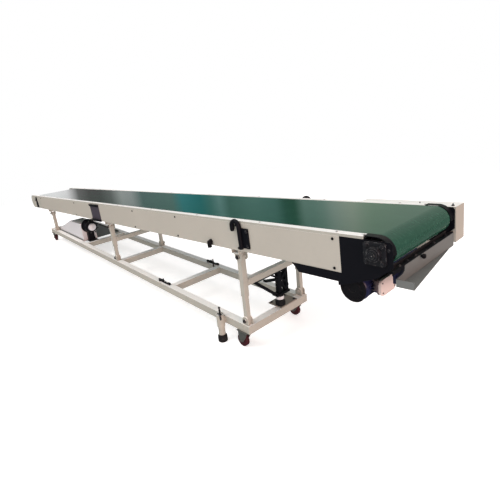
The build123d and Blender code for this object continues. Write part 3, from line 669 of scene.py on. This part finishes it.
def roundedBox(form, low, high, bevel=0.002):
    made = bmesh.ops.create_cube(form, size=1)["verts"]
    centre = [(a + b) / 2 for a, b in zip(low, high)]
    size = [abs(b - a) for a, b in zip(low, high)]
    for vert in made:
        vert.co = Vector([c + s * v for c, s, v in zip(centre, size, vert.co)])
    bevelEdges(form, {face for vert in made for face in vert.link_faces}, bevel)


def sheetPlate(form, outline, thickness, where, bevel):
    # outline: (u, v) points anticlockwise in the plate's own plane, thickness along its normal
    low = [form.verts.new(where @ Vector((u, v, 0))) for u, v in outline]
    high = [form.verts.new(where @ Vector((u, v, thickness))) for u, v in outline]
    faces = [form.faces.new(list(reversed(low))), form.faces.new(high)]
    joinRings(form, low, high)
    bevelEdges(form, faces, bevel)


def swept(form, points, radius, sides=10, closed=False):
    # a round rod along points, with radius one number or one for each point
    points = [Vector(p) for p in points]
    count = len(points)
    radii = [radius] * count if isinstance(radius, (int, float)) else list(radius)
    rings = []
    side = None
    for i, point in enumerate(points):
        before = points[i - 1] if i or closed else point
        after = points[(i + 1) % count] if i < count - 1 or closed else point
        ahead = (after - before).normalized()
        if side is None:
            side = ahead.orthogonal().normalized()
        side = (side - ahead * side.dot(ahead)).normalized()
        other = ahead.cross(side)
        ring = []
        for k in range(sides):
            a = 2 * math.pi * k / sides
            ring.append(form.verts.new(point + (side * math.cos(a) + other * math.sin(a)) * radii[i]))
        rings.append(ring)
    for lower, upper in zip(rings, rings[1:]):
        joinRings(form, lower, upper)
    if closed:
        joinRings(form, rings[-1], rings[0])
    else:
        form.faces.new(list(reversed(rings[0])))
        form.faces.new(rings[-1])


def weldBead(form, start, end, radius=0.0032):
    # a run of small overlapping ripples along a straight seam
    ripple = 0.0035
    start, end = Vector(start), Vector(end)
    count = max(4, int((end - start).length / ripple))
    points = [start.lerp(end, i / count) for i in range(count + 1)]
    radii = [radius * (0.55 if i in (0, count) else 0.9 + 0.14 * math.sin(2.4 * i)) for i in range(count + 1)]
    swept(form, points, radii, 6)


def addPiece(name, form, slot, body, smoothAngle=38):
    bmesh.ops.transform(form, matrix=bedTurn if body == "bed" else toOrigin, verts=form.verts)
    bmesh.ops.recalc_face_normals(form, faces=form.faces)
    mesh = bpy.data.meshes.new(name)
    form.to_mesh(mesh)
    form.free()
    mesh.polygons.foreach_set("use_smooth", [True] * len(mesh.polygons))
    mesh.set_sharp_from_angle(angle=math.radians(smoothAngle))
    mesh.materials.append(materials[slot])
    piece = bpy.data.objects.new(name, mesh)
    scene.collection.objects.link(piece)
    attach(piece, body)
    return piece


# Side covers and flanges: rows of screws
coverSet = {
    "screwStations": (0.038, 0.760, 1.487, 2.240, 3.920, 5.560),
    "screwHeights": (0.711, 0.560),
    "underDriveCover": 0.1,  # on the far side no screw shows nearer the front than this
    "flangeScrews": (-0.120, 0.025, 0.560, 1.210, 1.900, 2.600, 3.300, 4.000, 4.700, 5.400),
    "flangeRow": 0.314,
}


def coverScrews():
    for side, label in bothSides:
        form = bmesh.new()
        for station in coverSet["screwStations"]:
            if side > 0 and station < coverSet["underDriveCover"]:
                continue
            for height in coverSet["screwHeights"]:
                spot = (at(station), side * place["halfWidth"], height)
                socketScrew(form, facing(spot, (0, side, 0)), 0.0075, 0.004)
        addPiece(f"coverScrews.{label}", form, "black_plastic", "bed")
        form = bmesh.new()
        for station in coverSet["flangeScrews"]:
            spot = (at(station), side * coverSet["flangeRow"], place["deck"])
            socketScrew(form, facing(spot, (0, 0, 1)), 0.006, 0.0032)
        addPiece(f"flangeScrews.{label}", form, "steel", "bed")


coverScrews()
print("cover screws made")

# Head end: bearing bolts and collar, shaft end, guard knob, bar bolts, scraper and drive cover screws
headSet = {
    "boltPitch": 0.039,
    "bearingFace": 0.345,  # outer face of the bearing's flange
    "hubFace": 0.361,
    "collar": ((0.0155, 0), (0.026, 0), (0.026, 0.006), (0.0245, 0.0075), (0.0165, 0.0075), (0.0155, 0.0065)),
    "seal": ((0.0275, 0), (0.0325, 0), (0.0325, 0.0012), (0.031, 0.0026), (0.029, 0.0026), (0.0275, 0.0012)),
    "nipple": ((0.0035, 0), (0.0035, 0.006), (0.0045, 0.007), (0.003, 0.011)),
    "nippleAt": (0.019, -0.357, 0.028),  # from the drum's axis, except across
    "shaftEnd": 0.3703,
    "shaft": ((0.0145, 0), (0.0145, 0.0006), (0.0125, 0.0018), (0.004, 0.0018), (0.0015, -0.001)),
    "plateBolt": (3.346, 0.690),
    "guardFace": 3.360,
    "knob": (-0.063, 0.584),
    "knobForm": (  # radius, height
        (0.006, 0), (0.006, 0.006), (0.011, 0.008), (0.0125, 0.012), (0.0125, 0.017), (0.010, 0.021),
        (0.004, 0.0225),
    ),
    "barBolts": (-0.250, -0.180, -0.095, 0.110, 0.247),
    "barTop": (3.348, 0.5954),
    "blade": ((3.3315, 0.5800), (3.3375, 0.5800), (3.3375, 0.6070), (3.3345, 0.6085), (3.3300, 0.6060)),
    "bladeHalf": 0.290,
    "coverTop": 0.730,
    "studs": ((3.168, 0.365), (3.344, 0.363)),
    "studEnd": ((0.003, 0.004), (0.003, 0.011), (0.0022, 0.013)),
}


def headFittings():
    form = bmesh.new()
    x, z = place["headX"], place["drumZ"]
    pitch = headSet["boltPitch"]
    for dx in (-1, 1):
        for dz in (-1, 1):
            spot = (x + dx * pitch, -headSet["bearingFace"], z + dz * pitch)
            hexBolt(form, facing(spot, (0, -1, 0), 0.3 * dx + 0.2 * dz), 0.017, 0.0145)
    px, pz = headSet["plateBolt"]
    hexBolt(form, facing((px, -place["halfWidth"], pz), (0, -1, 0), px * 9), 0.010, 0.0085)
    addPiece("bearingBolts", form, "black_iron", "bed")
    form = bmesh.new()
    hub = facing((x, -headSet["hubFace"], z), (0, -1, 0))
    ringTurned(form, headSet["collar"], hub, 32)
    ringTurned(form, headSet["seal"], hub, 36)
    nx, ny, nz = headSet["nippleAt"]
    turned(form, headSet["nipple"], facing((x + nx, ny, z + nz), (0.5, 0, 0.86)), 12)
    addPiece("bearingCollar", form, "black_iron", "bed")
    form = bmesh.new()
    turned(form, headSet["shaft"], facing((x, -headSet["shaftEnd"], z), (0, -1, 0)), 28)
    addPiece("shaftEnd", form, "black_iron", "bed")


def guardFittings():
    form = bmesh.new()
    y, z = headSet["knob"]
    turned(form, headSet["knobForm"], facing((headSet["guardFace"], y, z), (1, 0, 0)), 24)
    addPiece("guardKnob", form, "black_plastic", "bed")
    form = bmesh.new()
    x, z = headSet["barTop"]
    for y in headSet["barBolts"]:
        hexBolt(form, facing((x, y, z), (0, 0, 1), y * 11), 0.010, 0.009)
    addPiece("barBolts", form, "black_iron", "bed")
    form = bmesh.new()
    low = [form.verts.new((x, -headSet["bladeHalf"], z)) for x, z in headSet["blade"]]
    high = [form.verts.new((x, headSet["bladeHalf"], z)) for x, z in headSet["blade"]]
    form.faces.new(low)
    form.faces.new(list(reversed(high)))
    joinRings(form, low, high)
    addPiece("beltScraper", form, "black_rubber", "bed")
    form = bmesh.new()
    for x, y in headSet["studs"]:
        spot = facing((x, y, headSet["coverTop"]), (0, 0, 1))
        hexBolt(form, spot, 0.010, 0.009)
        turned(form, headSet["studEnd"], spot, 14)
    addPiece("driveCoverScrews", form, "black_plastic", "bed")


headFittings()
guardFittings()
print("head fittings made")

# Motor: cowl, rings, flange and bracket; terminal box: lid, screws and gasket
motorSet = {
    "axis": (3.148, 0.465),
    "radius": 0.070,
    "nearEnd": -0.321,
    "cowl": (  # radius, height
        (0.070, -0.004), (0.0708, 0.0), (0.066, 0.0035), (0.060, 0.0040), (0.0595, 0.0022),
        (0.044, 0.0022), (0.043, 0.0042), (0.020, 0.0042), (0.019, 0.0026), (0.0, 0.0026),
    ),
    "grille": (0.044, 0.060),
    "grilleHeight": 0.0022,
    "cowlScrews": (0.0635, 0.0032),  # circle, height
    "rings": ((-0.286, 0.003, 0.0012), (-0.132, 0.005, 0.0015)),  # row, width, height
    "flangeRow": -0.1135,
    "flange": ((0.070, 0), (0.104, 0), (0.106, 0.002), (0.106, 0.012), (0.104, 0.014), (0.068, 0.014)),
    "flangeBolts": 0.094,
    "bracketAt": 3.326,
    "bracketSheet": 0.0117,
    "bracket": (  # y, z
        (-0.272, 0.512), (-0.246, 0.505), (-0.202, 0.505), (-0.178, 0.516), (-0.166, 0.540),
        (-0.164, 0.590), (-0.272, 0.590),
    ),
    "boxFace": 3.260,
    "boxRows": (-0.261, -0.119),
    "boxHeights": (0.423, 0.503),
    "boxCorner": 0.022,
    "boxScrew": 0.015,  # in from the box's edges
    "lidDepth": 0.012,
    "lidOver": 0.0012,
    "lidProud": 0.0020,
    "neckRows": (-0.239, -0.141),
    "neckHeights": (0.435, 0.491),
    "gasketAt": 3.2325,
    "gasketSheet": 0.0052,
    "gasketOver": 0.006,
}


def roundedOutline(rows, heights, corner, over=0.0, steps=5):
    # anticlockwise (u, v) points of a rectangle with round corners, grown by over on each side
    low, high = rows[0] - over + corner, rows[1] + over - corner
    bottom, top = heights[0] - over + corner, heights[1] + over - corner
    points = []
    for quarter, (u, v) in enumerate(((high, top), (low, top), (low, bottom), (high, bottom))):
        for i in range(steps + 1):
            a = math.pi / 2 * (quarter + i / steps)
            points.append((u + corner * math.cos(a), v + corner * math.sin(a)))
    return points


def motorFittings():
    x, z = motorSet["axis"]
    radius = motorSet["radius"]
    form = bmesh.new()
    end = facing((x, motorSet["nearEnd"], z), (0, -1, 0))
    turned(form, motorSet["cowl"], end, 48)
    for u, v in circleSpots(12):
        spoke = [end @ Vector((r * u, r * v, motorSet["grilleHeight"])) for r in motorSet["grille"]]
        swept(form, spoke, 0.0018, 6)
    circle, height = motorSet["cowlScrews"]
    for u, v in circleSpots(6, circle, 30):
        socketScrew(form, end @ Matrix.Translation((u, v, height)), 0.0030, 0.0020)
    addPiece("motorCowl", form, "black_plastic", "bed")
    form = bmesh.new()
    for y, wide, high in motorSet["rings"]:
        ring = ((radius - 0.001, 0), (radius + high, 0), (radius + high, wide), (radius - 0.001, wide))
        ringTurned(form, ring, facing((x, y, z), (0, 1, 0)), 48)
    addPiece("motorRings", form, "motor_blue_paint", "bed")
    form = bmesh.new()
    row = motorSet["flangeRow"]
    turned(form, motorSet["flange"], facing((x, row, z), (0, 1, 0)), 48)
    for i, (u, v) in enumerate(circleSpots(8, motorSet["flangeBolts"], 22.5)):
        hexBolt(form, facing((x + u, row, z + v), (0, -1, 0), i), 0.011, 0.0095)
    addPiece("motorFlange", form, "motor_blue_paint", "bed")
    form = bmesh.new()
    sheetPlate(form, motorSet["bracket"], motorSet["bracketSheet"], crossways(motorSet["bracketAt"]), 0.002)
    addPiece("motorBracket", form, "motor_blue_paint", "bed")


def terminalBoxFittings():
    rows, heights = motorSet["boxRows"], motorSet["boxHeights"]
    face, depth, over = motorSet["boxFace"], motorSet["lidDepth"], motorSet["lidOver"]
    form = bmesh.new()
    lid = roundedOutline(rows, heights, motorSet["boxCorner"] + over, over)
    sheetPlate(form, lid, depth + motorSet["lidProud"], crossways(face - depth), 0.003)
    addPiece("terminalLid", form, "terminal_box_plastic", "bed")
    form = bmesh.new()
    inset = motorSet["boxScrew"]
    for y in (rows[0] + inset, rows[1] - inset):
        for z in (heights[0] + inset, heights[1] - inset):
            socketScrew(form, facing((face + 0.0018, y, z), (1, 0, 0)), 0.0045, 0.0022)
    addPiece("terminalScrews", form, "black_iron", "bed")
    form = bmesh.new()
    gasket = roundedOutline(motorSet["neckRows"], motorSet["neckHeights"], 0.014, motorSet["gasketOver"])
    sheetPlate(form, gasket, motorSet["gasketSheet"], crossways(motorSet["gasketAt"]), 0.001)
    addPiece("terminalGasket", form, "black_rubber", "bed")


motorFittings()
terminalBoxFittings()
print("motor fittings made")

# Hooks, splices and take-ups: bolts in their plates, and the splice channels' lips
bracketSet = {
    "hookBolts": ((2.438, 0.680), (2.438, 0.588)),
    "hookFace": 0.344,
    "spliceBolts": (-0.222, -0.160, -0.066, -0.004),
    "spliceHeights": (0.706, 0.560),
    "spliceFace": 0.340,
    "spliceEnds": (-0.244, 0.018),
    "spliceLips": ((0.704, 0.728), (0.537, 0.561)),
    "lipRows": (-0.003, 0.012),  # from the splice's face
    "takeUp": (-2.750, 0.6697),
    "takeUpFace": 0.3495,
    "takeUpRod": ((0.0085, 0.008), (0.0085, 0.015), (0.0072, 0.0165)),
}


def bracketBolts():
    for side, label in bothSides:
        outward = (0, side, 0)
        form = bmesh.new()
        for x, z in bracketSet["hookBolts"]:
            hexBolt(form, facing((x, side * bracketSet["hookFace"], z), outward, z * 13), 0.013, 0.011)
        addPiece(f"hookBolts.{label}", form, "black_iron", "bed")
        form = bmesh.new()
        for x in bracketSet["spliceBolts"]:
            for z in bracketSet["spliceHeights"]:
                hexBolt(form, facing((x, side * bracketSet["spliceFace"], z), outward, x * 17), 0.012, 0.0105)
        addPiece(f"spliceBolts.{label}", form, "dark_bracket_paint", "bed")
        form = bmesh.new()
        back, front = bracketSet["spliceEnds"]
        inner, outer = sorted(side * (bracketSet["spliceFace"] + row) for row in bracketSet["lipRows"])
        for low, high in bracketSet["spliceLips"]:
            roundedBox(form, (back, inner, low), (front, outer, high), 0.003)
        addPiece(f"spliceLips.{label}", form, "black_paint", "bed")
        form = bmesh.new()
        x, z = bracketSet["takeUp"]
        spot = facing((x, side * bracketSet["takeUpFace"], z), outward, 0.4)
        hexBolt(form, spot, 0.026, 0.019)
        turned(form, bracketSet["takeUpRod"], spot, 18)
        addPiece(f"takeUpNut.{label}", form, "zinc", "bed")


bracketBolts()
print("bracket bolts made")

# Posts: pin heads with washers at the brackets and shoes, weld beads at the crossbeams
postSet = {
    "pins": (
        # body, station, outer end
        ("front_upper", 0.816, 0.3166),
        ("mid_upper", 2.983, 0.3166),
        ("base", 5.250, 0.317),
    ),
    "shoes": ((2.2781, 0.3137), (0.1140, 0.3137)),  # place along the base, outer end
    "shoeHeight": 0.234,
    "beams": (
        # body, back, front, underside, top
        ("front_upper", 2.2561, 2.3001, 0.4939, 0.5379),
        ("mid_upper", 0.092, 0.136, 0.4201, 0.4641),
    ),
    "inner": 0.263,  # where a crossbeam meets its posts
    "short": 0.002,  # a bead stops this short of a corner
    "bead": 0.0026,
}


def postFittings():
    for body, station, end in postSet["pins"]:
        form = bmesh.new()
        for side in (-1, 1):
            spot = (postX(station), side * end, postTop(station))
            hexBolt(form, facing(spot, (0, side, 0), station), 0.019, 0.0150)
        addPiece(f"postPins.{body}", form, "black_iron", body)
    form = bmesh.new()
    for x, end in postSet["shoes"]:
        for side in (-1, 1):
            hexBolt(form, facing((x, side * end, postSet["shoeHeight"]), (0, side, 0), x), 0.019, 0.0150)
    addPiece("shoePins", form, "black_iron", "base")
    short, bead = postSet["short"], postSet["bead"]
    for body, back, front, low, top in postSet["beams"]:
        form = bmesh.new()
        for side in (-1, 1):
            y = side * postSet["inner"]
            for x in (back, front):
                weldBead(form, (x, y, low + short), (x, y, top - short), bead)
            weldBead(form, (back + short, y, top), (front - short, y, top), bead)
        addPiece(f"beamWelds.{body}", form, "white_paint", body)


postFittings()
print("post fittings made")

# Base frame: weld beads where the inner beams and the end beams meet the rails
frameSet = {
    "inner": (1.830, 2.935, 4.020),
    "row": 0.253,
    "half": 0.030,
    "ends": (2.2576, -2.3404),
    "endWeld": 0.058,
    "cornerRow": 0.3128,
    "bead": 0.0030,
    "cornerBead": 0.0026,
}


def frameWelds():
    form = bmesh.new()
    top, half, bead = place["baseTop"], frameSet["half"], frameSet["bead"]
    low = place["baseLow"] + 0.004
    for side in (-1, 1):
        y = side * frameSet["row"]
        for station in frameSet["inner"]:
            x = onBase(station)
            weldBead(form, (x - half, y, top), (x + half, y, top), bead)
            for edge in (-half, half):
                weldBead(form, (x + edge, y, low), (x + edge, y, top - 0.002), bead)
        for x in frameSet["ends"]:
            weldBead(form, (x, y, top), (x, y + side * frameSet["endWeld"], top), bead)
            weldBead(form, (x, y, low), (x, y, top - 0.002), bead)
            corner = side * frameSet["cornerRow"]
            weldBead(form, (x, corner, low), (x, corner, top - 0.004), frameSet["cornerBead"])
    addPiece("frameWelds", form, "white_paint", "base")


frameWelds()
print("frame welds made")

# Casters: plate bolts, swivel race, axle nuts and wheel hubs
casterSet = {
    "places": (("front", 2.2416), ("tail", -2.3244)),
    "row": 0.283,
    "offset": 0.033,
    "axle": 0.050,
    "plate": 0.136,
    "bolts": (0.036, 0.031),
    "raceLow": 0.1275,
    "race": ((0.012, 0), (0.0275, 0), (0.030, 0.0025), (0.030, 0.0055), (0.0275, 0.0078), (0.012, 0.0078)),
    "nutRow": 0.0245,
    "hubRow": 0.0160,
    "hub": (  # radius, height
        (0.009, 0), (0.034, 0), (0.0345, 0.0016), (0.031, 0.0030), (0.018, 0.0012), (0.015, 0.0038),
        (0.009, 0.0038),
    ),
}


def casterFittings():
    bolts = bmesh.new()
    boltX, boltY = casterSet["bolts"]
    for end, x in casterSet["places"]:
        for side, label in bothSides:
            y = side * casterSet["row"]
            for dx in (-1, 1):
                for dy in (-1, 1):
                    spot = (x + dx * boltX, y + dy * boltY, casterSet["plate"])
                    hexBolt(bolts, facing(spot, (0, 0, -1), dx + dy), 0.009, 0.008)
            axleX, axleZ = x - casterSet["offset"], casterSet["axle"]
            form = bmesh.new()
            ringTurned(form, casterSet["race"], facing((x, y, casterSet["raceLow"]), (0, 0, 1)), 36)
            for way in (-1, 1):
                nut = facing((axleX, y + way * casterSet["nutRow"], axleZ), (0, way, 0), 0.5)
                hexBolt(form, nut, 0.015, 0.011)
            addPiece(f"casterFork.{end}.{label}", form, "zinc", f"fork_{end}_{label}")
            form = bmesh.new()
            for way in (-1, 1):
                hub = facing((axleX, y + way * casterSet["hubRow"], axleZ), (0, way, 0))
                ringTurned(form, casterSet["hub"], hub, 32)
            addPiece(f"casterHub.{end}.{label}", form, "red_wheel", f"wheel_{end}_{label}")
    addPiece("casterBolts", bolts, "zinc", "base")


casterFittings()
print("caster fittings made")

# Screw feet: ribbed rubber pads under plain tubes
footSet = {
    "x": 2.0376,
    "row": 0.344,
    "pad": (  # radius, height
        (0.0340, 0.0), (0.0360, 0.003), (0.0360, 0.010), (0.0335, 0.013), (0.0335, 0.016),
        (0.0360, 0.019), (0.0360, 0.027), (0.0335, 0.030), (0.0335, 0.033), (0.0355, 0.036),
        (0.0350, 0.044), (0.0310, 0.050), (0.0285, 0.056), (0.0200, 0.056),
    ),
    "tube": (  # radius, height
        (0.0240, 0.050), (0.0250, 0.056), (0.0250, 0.2095), (0.0238, 0.212), (0.0130, 0.212),
        (0.0120, 0.209),
    ),
}


def makeFeet():
    for side, label in bothSides:
        spot = Matrix.Translation((footSet["x"], side * footSet["row"], 0))
        form = bmesh.new()
        turned(form, footSet["pad"], spot, 36)
        addPiece(f"footPad.{label}", form, "black_rubber", f"foot_front_{label}")
        form = bmesh.new()
        turned(form, footSet["tube"], spot, 36)
        tube = addPiece(f"footTube.{label}", form, "white_paint", f"foot_front_{label}")
        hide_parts(f"foot_front_{label}")


makeFeet()
print("feet made")

# Foot spindles and the chains of the lock pins: welded links that hang in a row
chainSet = {
    "foot": ((2.042, -0.347, 0.270), (2.060, -0.359, 0.252), (2.068, -0.365, 0.232), (2.0715, -0.367, 0.196)),
    "lock": ((1.179, 0.256, 0.262), (1.186, 0.249, 0.240), (1.1905, 0.248, 0.205), (1.188, 0.248, 0.158)),
    "lockPin": ((1.174, 0.268, 0.214), (1.176, 0.262, 0.248), (1.177, 0.259, 0.268)),
    "pinRadius": 0.0045,
    "pitch": 0.0175,
    "long": 0.0135,
    "wide": 0.0080,
    "wire": 0.0030,
    "spindle": (  # radius, height
        (0.0115, 0.205), (0.0115, 0.222), (0.0062, 0.224), (0.0062, 0.268), (0.0085, 0.269),
        (0.0085, 0.277), (0.006, 0.279),
    ),
}


def chainLink(form, centre, along, across):
    along, across = along * chainSet["long"], across * chainSet["wide"]
    points = [centre + along * u + across * v for u, v in circleSpots(14)]
    swept(form, points, chainSet["wire"], 6, True)


def hangChain(form, points):
    points = [Vector(p) for p in points]
    count = 0
    for start, end in zip(points, points[1:]):
        along = (end - start).normalized()
        flat = along.cross(Vector((0, 1, 0))).normalized()
        steep = along.cross(flat).normalized()
        links = max(1, round((end - start).length / chainSet["pitch"]))
        for i in range(links):
            spot = start.lerp(end, (i + 0.5) / links)
            lean = 0.35 if count % 2 else 1.0
            chainLink(form, spot, along, (flat * lean + steep * (1.1 - lean)).normalized())
            count += 1


def makeChains():
    for side, label in bothSides:
        form = bmesh.new()
        turned(form, chainSet["spindle"], Matrix.Translation((footSet["x"], side * footSet["row"], 0)), 20)
        hangChain(form, [(x, -side * y, z) for x, y, z in chainSet["foot"]])
        addPiece(f"footChain.{label}", form, "black_iron", f"foot_front_{label}")
    form = bmesh.new()
    swept(form, chainSet["lockPin"], chainSet["pinRadius"], 10)
    hangChain(form, chainSet["lock"])
    addPiece("lockChain", form, "black_iron", "base")


makeChains()
print("chains made")

# Lifting jack: the boot's ribs, a collar and the plate's bolts
jackSet = {
    "axis": (2.2781, 0.052),
    "low": 0.2105,
    "high": 0.264,
    "ribStep": 0.0105,
    "rib": ((0.0270, 0), (0.0285, 0.0012), (0.0296, 0.0052), (0.0285, 0.0092), (0.0270, 0.0104)),
    "collar": (  # radius, height
        (0.0275, 0.262), (0.0300, 0.263), (0.0305, 0.267), (0.0305, 0.284), (0.0290, 0.287),
        (0.0275, 0.287),
    ),
    "plateTop": 0.210,
    "bolts": ((2.200, 0.035), (2.200, 0.182), (2.300, 0.182), (2.228, 0.110)),
}


def jackFittings():
    x, y = jackSet["axis"]
    form = bmesh.new()
    height = jackSet["low"]
    while height + jackSet["ribStep"] <= jackSet["high"]:
        ringTurned(form, jackSet["rib"], Matrix.Translation((x, y, height)), 36)
        height += jackSet["ribStep"]
    addPiece("jackBoot", form, "black_rubber", "base")
    form = bmesh.new()
    ringTurned(form, jackSet["collar"], Matrix.Translation((x, y, 0)), 36)
    addPiece("jackCollar", form, "light_grey_paint", "base")
    form = bmesh.new()
    for boltX, boltY in jackSet["bolts"]:
        hexBolt(form, facing((boltX, boltY, jackSet["plateTop"]), (0, 0, 1), boltX * 5), 0.013, 0.011)
    addPiece("jackBolts", form, "black_iron", "base")


jackFittings()
print("jack fittings made")

# Tail drive gear: dome, flange bolts and box screws
tailSet = {
    "pump": (-0.9302, -0.150, 0.398),
    "dome": 0.050,
    "domeRise": 0.030,
    "domeFoot": 0.006,
    "domeSteps": (0.3, 0.6, 0.9, 1.2, 1.4),  # angles from its rim
    "boltCircle": 0.080,
    "boxScrews": (-1.12, -1.31, -1.50, -1.69, -1.88, -2.07),
    "boxScrewAt": (-0.245, 0.216),
}


def tailFittings():
    front = facing(tailSet["pump"], (1, 0, 0))
    dome, rise, foot = tailSet["dome"], tailSet["domeRise"], tailSet["domeFoot"]
    form = bmesh.new()
    profile = [(dome, -0.002), (dome, foot)]
    profile += [(dome * math.cos(a), foot + rise * math.sin(a)) for a in tailSet["domeSteps"]]
    profile.append((0, foot + rise))
    turned(form, profile, front, 40)
    addPiece("pumpDome", form, "light_grey_paint", "base")
    form = bmesh.new()
    for u, v in circleSpots(8, tailSet["boltCircle"], 22.5):
        hexBolt(form, front @ Matrix.Translation((u, v, 0)), 0.010, 0.0085)
    ring = ((dome + 0.001, -0.001), (dome + 0.007, -0.001), (dome + 0.006, 0.004), (dome + 0.002, 0.004))
    ringTurned(form, ring, front, 40)
    addPiece("pumpBolts", form, "black_iron", "base")
    form = bmesh.new()
    y, z = tailSet["boxScrewAt"]
    for x in tailSet["boxScrews"]:
        socketScrew(form, facing((x, y, z), (0, -1, 0)), 0.005, 0.0028)
    addPiece("powerBoxScrews", form, "steel", "base")


tailFittings()
print("tail fittings made")

# Rounded edges on the pieces carried over from the frame
edgeRound = {"width": 0.0012, "angle": 38, "segments": 2}
for obj in nodes.values():
    rounding = obj.modifiers.new("edgeRound", "BEVEL")
    rounding.width = edgeRound["width"]
    rounding.segments = edgeRound["segments"]
    rounding.limit_method = "ANGLE"
    rounding.angle_limit = math.radians(edgeRound["angle"])
    rounding.use_clamp_overlap = True
